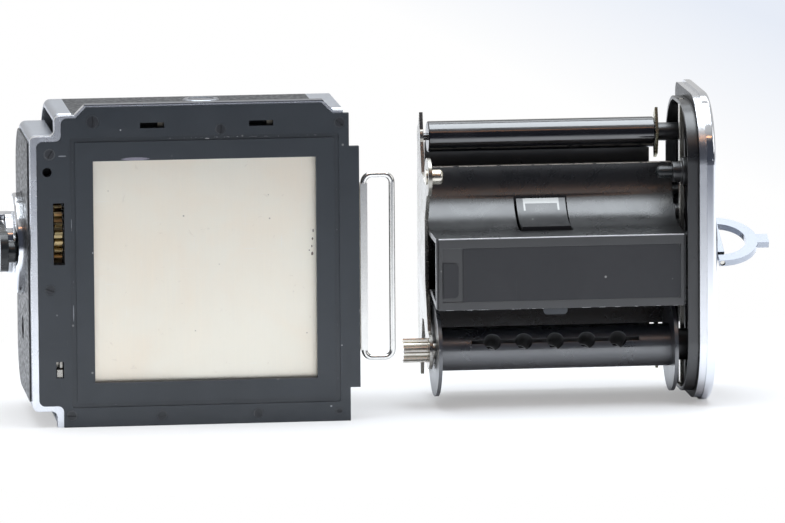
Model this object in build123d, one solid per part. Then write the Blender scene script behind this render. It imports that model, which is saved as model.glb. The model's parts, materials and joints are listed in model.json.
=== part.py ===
from build123d import *
from math import acos, atan2, cos, degrees, hypot, pi, radians, sin, sqrt, tan
import os

# Roll film magazine: a housing with a dark slide, and its film insert drawn out to the right and rolled
# half a turn. X runs from the crank side to the insert, Y away from the camera face, Z up.
# Lengths are millimetres. While modelling, x = 0 is the gate's middle, y = 0 the camera face and z = 0 the
# table; the last lines move everything to stand on the middle of its footprint.

# Housing, driving sizes
GATE = 60.0
BODY_H = 84.6
GATE_Z = BODY_H / 2 - 0.4
BODY_BACK = 51.0
BODY_RIGHT = 37.4
BODY_LEFT = 40.2
CASE_LEFT = 46.8
CASE_LOW = 4.4
CASE_HIGH = BODY_H - 5.8
CASE_BACK = 48.0
CASE_CORNER = 14.0
CASE_EDGE = 1.6
CASTING_WIDTH = 4.7
REAR_CORNER = 18.0
FRONT_CORNER = 0.8
SKIN = 0.5
WALL = 1.6
BAND_WIDTH = 6.6

# Front plate
PLATE_T = 1.6
PLATE_LEFT = 45.0
PLATE_SHOULDER_X = 38.4
PLATE_RIGHT = 38.9
PLATE_TAB = 2.7
TAB_LOW = 9.1
TAB_HIGH = BODY_H - 10.1
STEP_LOW = 5.9
STEP_HIGH = BODY_H - 7.3
SHOULDER_Z = BODY_H - 1.1
CREST_RISE = 2.9
CREST_HALF = 31.6
STEP_FILLET = 1.6
GROOVE_HALF_W = 35.5
GROOVE_LOW = 6.0
GROOVE_HIGH = BODY_H - 6.9
GROOVE_W = 1.4
GROOVE_D = 0.4
HOOK_SLOT_X = (-14.0, 15.3)
HOOK_SLOT_L = 6.5
HOOK_SLOT_H = 1.5
HOOK_SLOT_Z = BODY_H - 3.3
GEAR_SLOT_X = -39.3
GEAR_SLOT_W = 3.0
GEAR_SLOT_LOW = BODY_H - 40.5
GEAR_SLOT_HIGH = BODY_H - 23.8
PEEP_SLOT_X = -39.4
PEEP_SLOT_W = 2.0
PEEP_SLOT_LOW = 13.5
PEEP_SLOT_HIGH = 17.9
LOCATING_HOLE = (-42.3, BODY_H - 15.4)
LOCATING_R = 1.25
SCREWS = (
    (-30.0, BODY_H - 2.1, 1.8, 90),
    (4.4, BODY_H - 4.7, 1.5, 90),
    (36.4, BODY_H - 3.6, 1.5, 40),
    (-41.6, BODY_H - 10.6, 1.55, 120),
    (-41.8, BODY_H - 47.2, 1.5, 20),
    (-36.4, 3.2, 1.5, 0),
    (-12.1, 2.7, 1.4, 0),
    (13.9, 2.7, 1.4, 60),
    (35.8, 2.7, 1.0, 0),
)
SCREW_HEAD_D = 1.0
SCREW_SLOT_W = 0.45
SCREW_SLOT_D = 0.3
SCREW_SUNK = 0.05
SCREW_FIT = 0.02
GROOVE_CORNER = 0.8

# Frame behind the front plate, with the dark slide's channel
RIM_FRONT = 0.4
RIM_TOP = 0.8
RIM_LEFT = 1.8
RIM_STEP = 1.5
CHANNEL_DEPTH = 1.6
SLIDE_T = 0.4
SLIDE_H = 67.0
SLIDE_TIP = 33.0
SLIDE_REACH = PLATE_RIGHT + PLATE_TAB + 0.4
CHANNEL_GAP = 0.4
SEAL_W = 2.6
SEAL_GAP = 0.15
WIRE_R = 0.8
BAIL_HALF_H = 24.85
BAIL_Z = 41.55
BAIL_OUT = 9.4
BAIL_CORNER = 2.2
HEM_W = 1.9
HEM_D = 2.1
HEM_FIT = 0.02
GATE_RAIL_W = 3.0
GATE_RAIL_D = 1.6

# How far a cut runs past the faces that it opens
BEYOND = 9.0

# Running clearances
FIT = 0.05
GAP = 0.3

# Release button and catch
BUTTON_R = 4.9
BUTTON_T = 1.5
BUTTON_Y = 9.0
BUTTON_TRAVEL = 3.5
STEM_R = 2.0
BASE_T = 0.8
BASE_L = 18.0
BASE_W = 11.4
BASE_SPLAY = 2.5
BASE_CORNER = 2.2
BUTTON_EDGE = 0.35
BUTTON_RING = 1.4
BUTTON_DISH = 0.25
CATCH_HALF_L = 24.0
CATCH_H = 2.4
CATCH_T = 0.9
CATCH_ARM_W = 6.0
CATCH_ARM_T = 1.0

# Crank, gears and counter
CRANK_Y = 27.0
CRANK_Z = BODY_H - 38.0
SHAFT_R = 2.5
CRANK_BASE_R = 13.6
CRANK_BASE_T = 3.0
HUB_R = 8.6
HUB_T = 1.9
HUB_NOTCH = 2.6
EAR_T = 1.6
EAR_HALF_L = 2.0
EAR_ROOT = 3.0
LEVER_T = 2.2
LEVER_W = 11.0
LEVER_REACH = 28.1
LEVER_HINGE = 7.5
LEVER_PIN_R = 0.8
GRIP_R = 3.0
GRIP_T = HUB_T + GAP
GRIP_INSET = 0.8
CRANK_EDGE = 0.9
PARTITION_T = 1.2
DRIVE_Y = 11.6
DRIVE_Z = BODY_H - 32.1
DRIVE_W = 2.2
DRIVE_TEETH = 26
TIMING_TEETH = 17
WIND_TEETH = 98
PINION_TEETH = 14
WIND_W = 1.0
GEAR_STEP = 0.4
DRIVE_AXLE_R = 1.5
DRIVE_HUB_R = 2.6
PINION_ROOM_R = 4.2
DIAL_Y = 27.0
DIAL_Z = 20.0
DIAL_R = 7.0
DIAL_T = 1.2
WINDOW_R = 2.2
WINDOW_T = 1.1
COUNTER_AXLE_R = 1.0
COUNTER_AXLE_END = 0.6
SIDE_SKIN_INSET = 2.0
SIDE_SKIN_GAP = 0.2
WINDOW_MARGIN = 1.0
RESET_CLEAR = 0.2
RESET_FRONT = (1.5, 0.9)
RESET_SPREAD = 1.5
RESET_T = 1.0

# Insert, driving sizes; its rest place is out to the right, rear face to the viewer
INSERT_TRAVEL = 97.0
ROLL_Y = 27.5
COVER_DEPTH = 46.0
COVER_T = 2.0
COVER_RIM_T = 2.5
COVER_RIM_EDGE = 1.1
COVER_SKIN_INSET = 3.2
COVER_INNER_INSET = 0.6
COVER_FRONT_CORNER = 3.0
STRIP_T = 0.8
STRIP_MARGIN = 0.4
STRIP_END = 2.5
LIP_L = 3.0
LIP_T = 1.0
LIP_GAP = 0.5
SPOOL_Y = 21.5
TAKE_UP_Z = 15.3
SUPPLY_Z = BODY_H - 21.9
SPOOL_L = 65.5
SPOOL_FLANGE_R = 12.6
SPOOL_FLANGE_T = 1.0
SPOOL_CORE_R = 5.75
SPOOL_BORE_R = 3.0
SPOOL_HOLE_R = 2.35
SPOOL_HOLE_PITCH = 8.6
SPOOL_SLIT_W = 1.2
SPOOL_SLIT_L = 46.0
SPOOL_TURN = -28.0
SPOOL_SEAT = 5.0
SPOOL_SEAT_USED = 4.5
HUB_SEAT_USED = 4.0
COVER_CLEAR = 5.2
BAY_R = 15.0
PANEL_Y = 8.5
PANEL_LOW = BODY_H / 2 - 14.4
PANEL_HIGH = BODY_H / 2 + 5.2
PANEL_T = 0.8
BODY_FAR = 44.0
BODY_WALL = 1.5
SUPPLY_BAY_END = 3.0
TAKE_UP_BAY_END = -15.0
BAY_LEDGE = 1.6
BAY_RISE = 3.4
BODY_INSET = 0.6
BODY_CLEAR = 3.1
COVER_POST_R = 1.9
COVER_POSTS = ((14.0, -9.0), (14.0, 3.2), (40.6, -12.3), (40.6, 12.3))
SMALL_POST = (31.6, 8.0)
SMALL_POST_R = 2.2
NAME_PLATE_LOW = PANEL_LOW + 2.2
NAME_PLATE_HIGH = PANEL_HIGH - 2.7
PLATE_RECESS = 0.5
PLATE_MARGIN = 1.0
NAME_CORNER = 1.5
NUMBER_CORNER = 1.2
NUMBER_PLATE_L = 4.2
NUMBER_PLATE_H = 9.5
NUMBER_PLATE_RISE = 1.2
NUMBER_PLATE_GAP = 0.2
NAME_PLATE_GAP = 1.2
SIDE_PLATE_T = 1.0
SPINE_Y = 35.0
SPINE_W = 17.0
SPINE_H = 40.0
SPINE_CORNER = 5.0
ARM_HALF = 3.0
ARM_FOOT = (26.6, 38.0, 8.0)
RIB_HALF = 3.1
RIB_FOOT = (31.0, 43.0, 14.0)
TIP_POINT = (-1.6, 7.0)
SPOOL_EYE_R = 5.2
ROLLER_EYE_R = 3.6
ROLLER_Y = 39.5
ROLLER_Z = BODY_H - 13.2
ROLLER_R = 4.2
ROLLER_L = SPOOL_L - 3.3
ROLLER_PIN_R = 1.0
POST_R = 2.5
BRACKET_T = 0.8
BRACKET = ((-3.6, 0.0), (-1.4, 7.0), (1.0, 5.4), (3.4, 0.0), (1.2, -7.2), (-1.6, -5.8))
BRACKET_PIN = 1.4
ROLLER_EDGE = 0.25
PINION_L = 6.8
PINION_SHAFT_R = 2.4
TAKE_UP_HUB_R = 4.3
SUPPLY_POST_R = 3.9
SUPPLY_NECK_L = 2.6
SUPPLY_NECK_R = 2.8
PLUNGER_FLOOR = 0.5
PLUNGER_R = 1.7
PLUNGER_OUT = 4.4
PLUNGER_TRAVEL = 2.5
STUD_R = 2.1
STUD_OUT = 3.0
STUD_BACK = 0.3
PRESSURE_L = 62.0
PRESSURE_H = 56.0
PRESSURE_T = 1.2
PRESSURE_CORNER = 2.0
PRESSURE_BACK = 47.6
PRESSURE_TRAVEL = 0.8
GUIDE_PIN_R = 1.0
GUIDE_X = 24.0
GUIDE_Z = 15.0
GUIDE_PIN_END = 2.0
LEAF_T = 0.3
LEAF_HALF_W = 2.0
LEAF_HALF_L = 18.0
LEAF_TOP_HALF = 6.0
LEAF_Z = 6.0
WINDOW_X = 31.0
WINDOW_L = 14.5
WINDOW_D = 15.0
WINDOW_Y = 27.0
FINGER_PIN_R = 0.7
FINGER_SET = 1.7
FINGER_SINK = 2.6
FINGER_T = 1.2
FINGER_PROUD = 1.0
FINGER_MARGIN = 0.5
FINGER_START = 0.8
FINGER_END = 1.5
FINGER_ARM_HALF = 3.3
FINGER_ARM_W = 2.3
KNUCKLE_R = 1.3
FINGER_EAR_T = 1.0
FINGER_EAR_GAP = 0.4
FINGER_EAR_DROP = 6.0
FINGER_EAR_END = 1.6

# Key and latch
DIAL_RING_R = 13.0
DIAL_RING_T = 1.5
KEY_R = 10.4
KEY_T = 2.0
KEY_TILT = 24.0
KEY_SHAFT_R = 2.5
KEY_EDGE = 0.4
KEY_RIB_HALF = 1.4
KEY_RIB_GAP = 0.5
BOW_R = 11.0
BOW_W = 3.2
BOW_T = 1.8
BOW_TAB = 3.0
BOW_CLEAR = 0.45
BOW_PIN_R = 0.7
BOW_PIN_INSET = 0.4
BOW_TAB_HALF = 2.1
BOLT_W = 2.4
BOLT_T = 1.2
BOLT_TRAVEL = 1.5
BOLT_SET = 0.1
KEEPER_SPARE = 0.2
CAM_SHORT_R = 2.7

# Places worked out from the driving sizes
MID_Z = BODY_H / 2
SLIDE_Y = PLATE_T + (CHANNEL_DEPTH - SLIDE_T) / 2
FRONT_WALL_Y = PLATE_T + CHANNEL_DEPTH
CAVITY_FRONT = FRONT_WALL_Y + WALL
CAVITY_BACK = BODY_BACK - SKIN - WALL
CAVITY_LOW = SKIN + WALL
CAVITY_CORNER = REAR_CORNER - SKIN - WALL
CASTING_RIGHT = -BODY_LEFT + CASTING_WIDTH
CREST_Z = SHOULDER_Z + CREST_RISE
CASE_WALL = 1.5
PARTITION_X = CASTING_RIGHT - 0.9
COVER_X = BODY_RIGHT + GAP + INSERT_TRAVEL
SPOOL_X = COVER_X - COVER_CLEAR - SPOOL_L
SIDE_PLATE_X = SPOOL_X - BODY_INSET - SIDE_PLATE_T
BODY_X = SPOOL_X - BODY_INSET
BODY_END = COVER_X - BODY_CLEAR
ROLLER_X = SPOOL_X + 0.8
COVER_FRONT = ROLL_Y - COVER_DEPTH / 2
DRIVE_X = GEAR_SLOT_X - DRIVE_W / 2
WIND_X = DRIVE_X + DRIVE_W + GEAR_STEP
WIND_DISTANCE = hypot(2 * ROLL_Y - SPOOL_Y - CRANK_Y, BODY_H - TAKE_UP_Z - CRANK_Z)
WIND_MODULE = 2 * WIND_DISTANCE / (WIND_TEETH + PINION_TEETH)
WIND_ANGLE = degrees(atan2(BODY_H - TAKE_UP_Z - CRANK_Z, 2 * ROLL_Y - SPOOL_Y - CRANK_Y))
DRIVE_DISTANCE = hypot(DRIVE_Y - CRANK_Y, DRIVE_Z - CRANK_Z)
DRIVE_MODULE = 2 * DRIVE_DISTANCE / (DRIVE_TEETH + TIMING_TEETH)
DRIVE_ANGLE = degrees(atan2(DRIVE_Z - CRANK_Z, DRIVE_Y - CRANK_Y))
HUB_X = -CASE_LEFT - CRANK_BASE_T - GAP - HUB_T
LEVER_X = HUB_X - GAP - LEVER_T
LEVER_PIN_X = LEVER_X + LEVER_T / 2
LEVER_PIN_Y = CRANK_Y + LEVER_HINGE
DIAL_FLOOR = COVER_X + COVER_T + COVER_RIM_T
COUNTER_X = -CASE_LEFT + CASE_WALL
KEY_X = DIAL_FLOOR + GAP
BOW_HINGE_X = KEY_X + KEY_T + BOW_T / 2 + BOW_CLEAR
BOLT_X = COVER_X - STRIP_T - GAP - BOLT_T
CAM_LONG_R = CAM_SHORT_R + BOLT_TRAVEL
BOLT_IN = CAM_SHORT_R + GAP


def block(x0, x1, y0, y1, z0, z1):
    """A box by its two corners."""
    size = Box(x1 - x0, y1 - y0, z1 - z0)
    return Pos((x0 + x1) / 2, (y0 + y1) / 2, (z0 + z1) / 2) * size


def rod_x(x0, x1, y, z, r):
    """A round bar along X."""
    return extrude(Plane.YZ.offset(x0) * Pos(y, z) * Circle(r), amount=x1 - x0)


def rod_y(y0, y1, x, z, r):
    """A round bar along Y."""
    return along_y(Pos(x, z) * Circle(r), y0, y1)


def rod_z(z0, z1, x, y, r):
    """A round bar along Z."""
    return extrude(Plane.XY.offset(z0) * Pos(x, y) * Circle(r), amount=z1 - z0)


def along_x(face, x0, x1):
    """A face drawn in (y, z), thickened from x0 to x1."""
    return extrude(Plane.YZ.offset(x0) * face, amount=x1 - x0)


def along_y(face, y0, y1):
    """A face drawn in (x, z), thickened from y0 to y1."""
    plane = Plane(origin=(0, y0, 0), x_dir=(1, 0, 0), z_dir=(0, -1, 0))
    return extrude(plane * face, amount=y0 - y1)


def group(*solids):
    """Several separate solids in one node."""
    flat = [s for item in solids for s in item.solids()]
    return Compound(children=flat)


def rear_rounded(front, back, low, high, corner, front_corner):
    """A section in (y, z) with two large rear corners and two small front ones."""
    face = Pos((front + back) / 2, (low + high) / 2) * Rectangle(back - front, high - low)
    columns = face.vertices().group_by(Axis.X)
    face = fillet(columns[-1], corner)
    columns = face.vertices().group_by(Axis.X)
    return fillet(columns[0], front_corner)


def body_section(inset):
    """The housing's section, drawn in from the top, rear and underside by an inset."""
    low, high = inset, BODY_H - inset
    return rear_rounded(FRONT_WALL_Y, BODY_BACK - inset, low, high, REAR_CORNER - inset, FRONT_CORNER)


def cavity_section():
    """The section of the film chamber."""
    high = BODY_H - CAVITY_LOW
    return rear_rounded(CAVITY_FRONT, CAVITY_BACK, CAVITY_LOW, high, CAVITY_CORNER, 1.0)


def gear_face(teeth, module, angle, addendum=0.85, dedendum=1.2, backlash=0.12):
    """An involute gear whose tooth is centred at an angle, drawn about its own axis."""
    pitch_r = teeth * module / 2
    base_r = pitch_r * cos(radians(20))
    tip_r = pitch_r + addendum * module
    root_r = pitch_r - dedendum * module
    low_r = max(root_r + 0.05 * module, base_r)
    half = pi / (2 * teeth) - backlash * module / (2 * pitch_r) + tan(radians(20)) - radians(20)
    flank = [(root_r, half)]
    for step in range(4):
        r = low_r + (tip_r - low_r) * step / 3
        pressure = acos(min(1.0, base_r / r))
        flank.append((r, half - tan(pressure) + pressure))
    points = []
    for tooth in range(teeth):
        middle = radians(angle) + 2 * pi * tooth / teeth
        for r, side in flank:
            points.append((r * cos(middle - side), r * sin(middle - side)))
        for r, side in reversed(flank):
            points.append((r * cos(middle + side), r * sin(middle + side)))
    return make_face(Polyline(*points, close=True))


def plate_points(left, shoulder, right, step, top, crest):
    """The stepped outline of the front plate, or of the frame round it."""
    tab = right + PLATE_TAB
    return [
        (-shoulder, 0),
        (right, 0),
        (right, TAB_LOW),
        (tab, TAB_LOW),
        (tab, TAB_HIGH),
        (right, TAB_HIGH),
        (right, top),
        (crest + CREST_RISE, top),
        (crest, top + CREST_RISE),
        (-crest, top + CREST_RISE),
        (-crest - CREST_RISE, top),
        (-shoulder, top),
        (-shoulder, STEP_HIGH + step),
        (-left, STEP_HIGH + step),
        (-left, STEP_LOW - step),
        (-shoulder, STEP_LOW - step),
    ]


def plate_face():
    """The front plate's outline, its left steps rounded."""
    points = plate_points(PLATE_LEFT, PLATE_SHOULDER_X, PLATE_RIGHT, 0, SHOULDER_Z, CREST_HALF)
    face = make_face(Polyline(*points, close=True))
    steps = [v for v in face.vertices() if v.X < -PLATE_SHOULDER_X + 0.1 and v.Y > 1]
    return fillet(steps, STEP_FILLET)


def front_plate():
    """The black plate that meets the camera."""
    plate = along_y(plate_face(), 0, PLATE_T)
    middle = (GROOVE_LOW + GROOVE_HIGH) / 2
    width, height = 2 * GROOVE_HALF_W, GROOVE_HIGH - GROOVE_LOW
    outer = RectangleRounded(width + GROOVE_W, height + GROOVE_W, GROOVE_CORNER)
    inner = RectangleRounded(width - GROOVE_W, height - GROOVE_W, GROOVE_CORNER / 2)
    groove = along_y(Pos(0, middle) * (outer - inner), -1, GROOVE_D)
    plate = plate - gate_cut(-1, PLATE_T + 1) - groove
    for x in HOOK_SLOT_X:
        half_h = HOOK_SLOT_H / 2
        ends = (x - HOOK_SLOT_L / 2, x + HOOK_SLOT_L / 2)
        plate -= block(*ends, -1, PLATE_T + 1, HOOK_SLOT_Z - half_h, HOOK_SLOT_Z + half_h)
    plate -= gear_slot(PLATE_T + 1)
    plate -= peep_slot(PLATE_T + 1)
    plate -= rod_y(-1, PLATE_T + 1, *LOCATING_HOLE, LOCATING_R)
    for x, z, r, _ in SCREWS:
        plate -= rod_y(-1, SCREW_HEAD_D, x, z, r + SCREW_FIT)
    return plate


def gear_slot(depth):
    """The slot that the drive gear shows through."""
    half = GEAR_SLOT_W / 2
    return block(GEAR_SLOT_X - half, GEAR_SLOT_X + half, -1, depth, GEAR_SLOT_LOW, GEAR_SLOT_HIGH)


def peep_slot(depth):
    """The small slot that the counter's reset lever shows in."""
    half = PEEP_SLOT_W / 2
    return block(PEEP_SLOT_X - half, PEEP_SLOT_X + half, -1, depth, PEEP_SLOT_LOW, PEEP_SLOT_HIGH)


def plate_screws():
    """The slotted heads in the front plate."""
    heads = []
    for x, z, r, turn in SCREWS:
        head = rod_y(SCREW_SUNK, SCREW_HEAD_D, x, z, r)
        slot = block(-r - 1, r + 1, -1, SCREW_SLOT_D, -SCREW_SLOT_W / 2, SCREW_SLOT_W / 2)
        slot = Rot(0, turn, 0) * slot
        heads.append(head - Pos(x, 0, z) * slot)
    return group(*heads)


def front_frame():
    """The bright frame round the plate, with the dark slide's channel behind it."""
    left, shoulder = PLATE_LEFT + RIM_LEFT, PLATE_SHOULDER_X + RIM_LEFT
    points = plate_points(left, shoulder, BODY_RIGHT, RIM_STEP, SHOULDER_Z + RIM_TOP, CREST_HALF + 0.3)
    face = make_face(Polyline(*points, close=True))
    steps = [v for v in face.vertices() if v.X < -shoulder + 0.1 and v.Y > 1]
    face = fillet(steps, STEP_FILLET)
    frame = along_y(face, RIM_FRONT, FRONT_WALL_Y)
    frame -= block(BODY_RIGHT, PLATE_RIGHT + BEYOND, -1, BODY_BACK, -1, CREST_Z + BEYOND)
    frame -= along_y(plate_face(), -1, PLATE_T)
    half = SLIDE_H / 2 + CHANNEL_GAP
    channel = (PLATE_T - 1, FRONT_WALL_Y + 1, GATE_Z - half, GATE_Z + half)
    frame -= block(-SLIDE_TIP - CHANNEL_GAP, BODY_RIGHT + 1, *channel)
    frame -= catch_pocket()
    frame -= gear_slot(BODY_BACK)
    frame -= peep_slot(BODY_BACK)
    return frame - rod_y(-1, FRONT_WALL_Y + 1, *LOCATING_HOLE, LOCATING_R)


def catch_pocket():
    """The room that the catch bar slides in."""
    reach = CATCH_HALF_L + BUTTON_TRAVEL + GAP
    half_h = CATCH_H / 2 + GAP
    return block(-reach, CATCH_HALF_L + GAP, PLATE_T, FRONT_WALL_Y + 0.01, HOOK_SLOT_Z - half_h,
                 HOOK_SLOT_Z + half_h)


def arm_room():
    """The way of the catch arm through the housing's front wall."""
    half = CATCH_ARM_W / 2 + GAP
    half_h = CATCH_ARM_T / 2 + GAP
    return block(-half - BUTTON_TRAVEL, half, FRONT_WALL_Y - 1, CAVITY_FRONT + 1, HOOK_SLOT_Z - half_h,
                 HOOK_SLOT_Z + half_h)


def stem_room(z0, z1):
    """The slot that the button's stem slides in."""
    width = 2 * (STEM_R + GAP)
    face = Pos(-BUTTON_TRAVEL / 2, BUTTON_Y) * SlotOverall(width + BUTTON_TRAVEL, width)
    return extrude(Plane.XY.offset(z0) * face, amount=z1 - z0)


def gate_cut(y0, y1):
    """The square film gate, between two depths."""
    return block(-GATE / 2, GATE / 2, y0, y1, GATE_Z - GATE / 2, GATE_Z + GATE / 2)


def bolt_room():
    """The keeper pockets that the latch bolts rise into."""
    half = BOLT_W / 2 + GAP
    x0 = BOLT_X - INSERT_TRAVEL - GAP
    x1 = x0 + BOLT_T + 2 * GAP
    low = CAVITY_LOW + LIP_GAP - BOLT_TRAVEL - KEEPER_SPARE
    return block(x0, x1, ROLL_Y - half, ROLL_Y + half, low, BODY_H - low)


def housing_shell():
    """The film chamber's tube."""
    shell = along_x(body_section(SKIN) - cavity_section(), CASTING_RIGHT, BODY_RIGHT)
    shell -= gate_cut(0, CAVITY_FRONT + 1)
    shell -= arm_room()
    shell -= bolt_room()
    return shell - stem_room(MID_Z, BODY_H)


def covering():
    """The pebbled covering over the top, rear and underside."""
    wrap = along_x(body_section(0) - body_section(SKIN), CASTING_RIGHT, BODY_RIGHT - BAND_WIDTH)
    return wrap - stem_room(MID_Z, BODY_H + 1)


def mouth_band():
    """The satin band round the open end."""
    return along_x(body_section(0) - body_section(SKIN), BODY_RIGHT - BAND_WIDTH, BODY_RIGHT)


def crank_casting():
    """The stepped casting on the crank side, hollow for the gears."""
    slab = along_x(body_section(0), -BODY_LEFT, CASTING_RIGHT)
    case = along_x(case_section(0), -CASE_LEFT, CASTING_RIGHT)
    casting = edge_rounded(slab) + edge_rounded(case)
    casting -= along_x(cavity_section(), -BODY_LEFT, CASTING_RIGHT + 1)
    casting -= along_x(case_section(CASE_WALL), COUNTER_X, -BODY_LEFT)
    casting -= gear_slot(CAVITY_FRONT + 1)
    casting -= peep_slot(CAVITY_FRONT + 1)
    casting -= rod_x(-CASE_LEFT - 1, -BODY_LEFT, CRANK_Y, CRANK_Z, SHAFT_R + FIT)
    casting -= rod_x(-CASE_LEFT - 1, -BODY_LEFT, DRIVE_Y, DRIVE_Z, DRIVE_AXLE_R)
    return casting - rod_x(-CASE_LEFT - 1, -BODY_LEFT, DIAL_Y, DIAL_Z + DIAL_R / 2, WINDOW_R)


def edge_rounded(piece):
    """A casting block with its left face's edges rounded, but for the edge against the front frame."""
    rim = piece.edges().group_by(Axis.X)[0]
    return fillet([e for e in rim if e.center().Y > FRONT_WALL_Y + CASE_EDGE], CASE_EDGE)


def case_section(inset):
    """The gear case's section."""
    low, high = CASE_LOW + inset, CASE_HIGH - inset
    return rear_rounded(FRONT_WALL_Y + inset, CASE_BACK - inset, low, high, CASE_CORNER - inset, 0.6)


def side_covering():
    """The covering panel on the crank side."""
    panel = along_x(case_section(SIDE_SKIN_INSET), -CASE_LEFT - SKIN, -CASE_LEFT)
    panel -= rod_x(-CASE_LEFT - 1, -CASE_LEFT + 1, CRANK_Y, CRANK_Z, CRANK_BASE_R + SIDE_SKIN_GAP)
    window = (DIAL_Y, DIAL_Z + DIAL_R / 2, WINDOW_R + WINDOW_MARGIN)
    return panel - rod_x(-CASE_LEFT - 1, -CASE_LEFT + 1, *window)


def gear_partition():
    """The plate between the gears and the film chamber."""
    x0, x1 = PARTITION_X, PARTITION_X + PARTITION_T
    plate = along_x(cavity_section(), x0, x1)
    plate -= rod_x(x0, x1, SPOOL_Y, TAKE_UP_Z, PINION_ROOM_R)
    plate -= rod_x(x0, x1, 2 * ROLL_Y - SPOOL_Y, BODY_H - TAKE_UP_Z, PINION_ROOM_R)
    return plate - gear_slot(CAVITY_FRONT + 2) - rod_x(x0, x1, CRANK_Y, CRANK_Z, SHAFT_R + FIT)


def gate_rails():
    """The polished rails round the film gate, on the chamber's side."""
    outer = GATE / 2 + GATE_RAIL_W
    rails = block(-outer, outer, CAVITY_FRONT, CAVITY_FRONT + GATE_RAIL_D, GATE_Z - outer, GATE_Z + outer)
    return rails - gate_cut(0, BODY_BACK)


def slide_seal():
    """The felt strips at the dark slide's mouth."""
    half = SLIDE_H / 2 + CHANNEL_GAP
    x0, x1 = BODY_RIGHT - SEAL_W - GAP, BODY_RIGHT - GAP
    front = block(x0, x1, PLATE_T, SLIDE_Y - SEAL_GAP, GATE_Z - half, GATE_Z + half)
    back = block(x0, x1, SLIDE_Y + SLIDE_T + SEAL_GAP, FRONT_WALL_Y, GATE_Z - half, GATE_Z + half)
    return group(front, back)


def dark_slide():
    """The steel sheet across the gate."""
    half = SLIDE_H / 2
    sheet = block(-SLIDE_TIP, BODY_RIGHT, SLIDE_Y, SLIDE_Y + SLIDE_T, GATE_Z - half, GATE_Z + half)
    tongue = block(BODY_RIGHT, SLIDE_REACH, SLIDE_Y, SLIDE_Y + SLIDE_T, BAIL_Z - BAIL_HALF_H + BAIL_CORNER,
                   BAIL_Z + BAIL_HALF_H - BAIL_CORNER)
    return sheet + tongue


def slide_hem():
    """The folded edge that holds the wire handle."""
    middle = SLIDE_Y + SLIDE_T / 2
    low, high = BAIL_Z - BAIL_HALF_H + BAIL_CORNER, BAIL_Z + BAIL_HALF_H - BAIL_CORNER
    hem = block(SLIDE_REACH, SLIDE_REACH + HEM_W, middle - HEM_D / 2, middle + HEM_D / 2, low, high)
    return hem - rod_z(low - 1, high + 1, SLIDE_REACH + HEM_W / 2, middle, WIRE_R + HEM_FIT)


def slide_bail():
    """The wire loop that the slide is pulled by."""
    x0 = SLIDE_REACH + HEM_W / 2
    width = BAIL_OUT - HEM_W / 2 - WIRE_R
    plane = Plane(origin=(x0 + width / 2, SLIDE_Y + SLIDE_T / 2, BAIL_Z), x_dir=(1, 0, 0), z_dir=(0, -1, 0))
    loop = RectangleRounded(width, 2 * BAIL_HALF_H, BAIL_CORNER).wire()
    path = plane * loop
    start = path @ 0
    section = Plane(origin=start, z_dir=path % 0) * Circle(WIRE_R)
    return sweep(section, path=path)


def catch_bar():
    """The hooks' catch, with its arm and stem up to the button."""
    half_h = CATCH_H / 2
    bar = block(-CATCH_HALF_L, CATCH_HALF_L, PLATE_T + GAP, PLATE_T + GAP + CATCH_T, HOOK_SLOT_Z - half_h,
                HOOK_SLOT_Z + half_h)
    for x in HOOK_SLOT_X:
        low = HOOK_SLOT_Z - HOOK_SLOT_H / 2
        bar -= block(x - HOOK_SLOT_L / 2, x + HOOK_SLOT_L / 4, 0, CAVITY_FRONT, low, low + HOOK_SLOT_H)
    low = HOOK_SLOT_Z - CATCH_ARM_T / 2
    arm = block(-CATCH_ARM_W / 2, CATCH_ARM_W / 2, PLATE_T + GAP, BUTTON_Y + STEM_R, low, low + CATCH_ARM_T)
    return bar + arm + rod_z(low, BODY_H + BASE_T + GAP, 0, BUTTON_Y, STEM_R)


def release_button():
    """The button's cap."""
    low = BODY_H + BASE_T + GAP
    cap = rod_z(low, low + BUTTON_T, 0, BUTTON_Y, BUTTON_R)
    cap = chamfer(cap.edges().group_by(Axis.Z)[-1], BUTTON_EDGE)
    return cap - rod_z(low + BUTTON_T - BUTTON_DISH, low + BUTTON_T, 0, BUTTON_Y, BUTTON_R - BUTTON_RING)


def button_base():
    """The raised plate that the button slides on."""
    half_l, half_w = BASE_L / 2, BASE_W / 2
    far = half_l - BASE_SPLAY
    points = [(-half_l, -half_w), (half_l, -half_w), (far, half_w), (-far, half_w)]
    face = fillet(make_face(Polyline(*points, close=True)).vertices(), BASE_CORNER)
    base = extrude(Plane.XY.offset(BODY_H) * Pos(-BUTTON_TRAVEL / 2, BUTTON_Y) * face, amount=BASE_T)
    base = chamfer(base.edges().group_by(Axis.Z)[-1], BUTTON_EDGE)
    return base - stem_room(BODY_H - 1, BODY_H + BASE_T + 1)


def crank_base():
    """The bright fixed disc round the crank's shaft."""
    x0 = -CASE_LEFT - CRANK_BASE_T
    disc = rod_x(x0, -CASE_LEFT, CRANK_Y, CRANK_Z, CRANK_BASE_R)
    disc = fillet(disc.edges().group_by(Axis.X)[0], CRANK_EDGE)
    return disc - rod_x(x0 - 1, -CASE_LEFT + 1, CRANK_Y, CRANK_Z, SHAFT_R + FIT)


def crank_shaft():
    """The crank's shaft."""
    return rod_x(HUB_X + HUB_T, PARTITION_X + PARTITION_T - 0.1, CRANK_Y, CRANK_Z, SHAFT_R)


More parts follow.
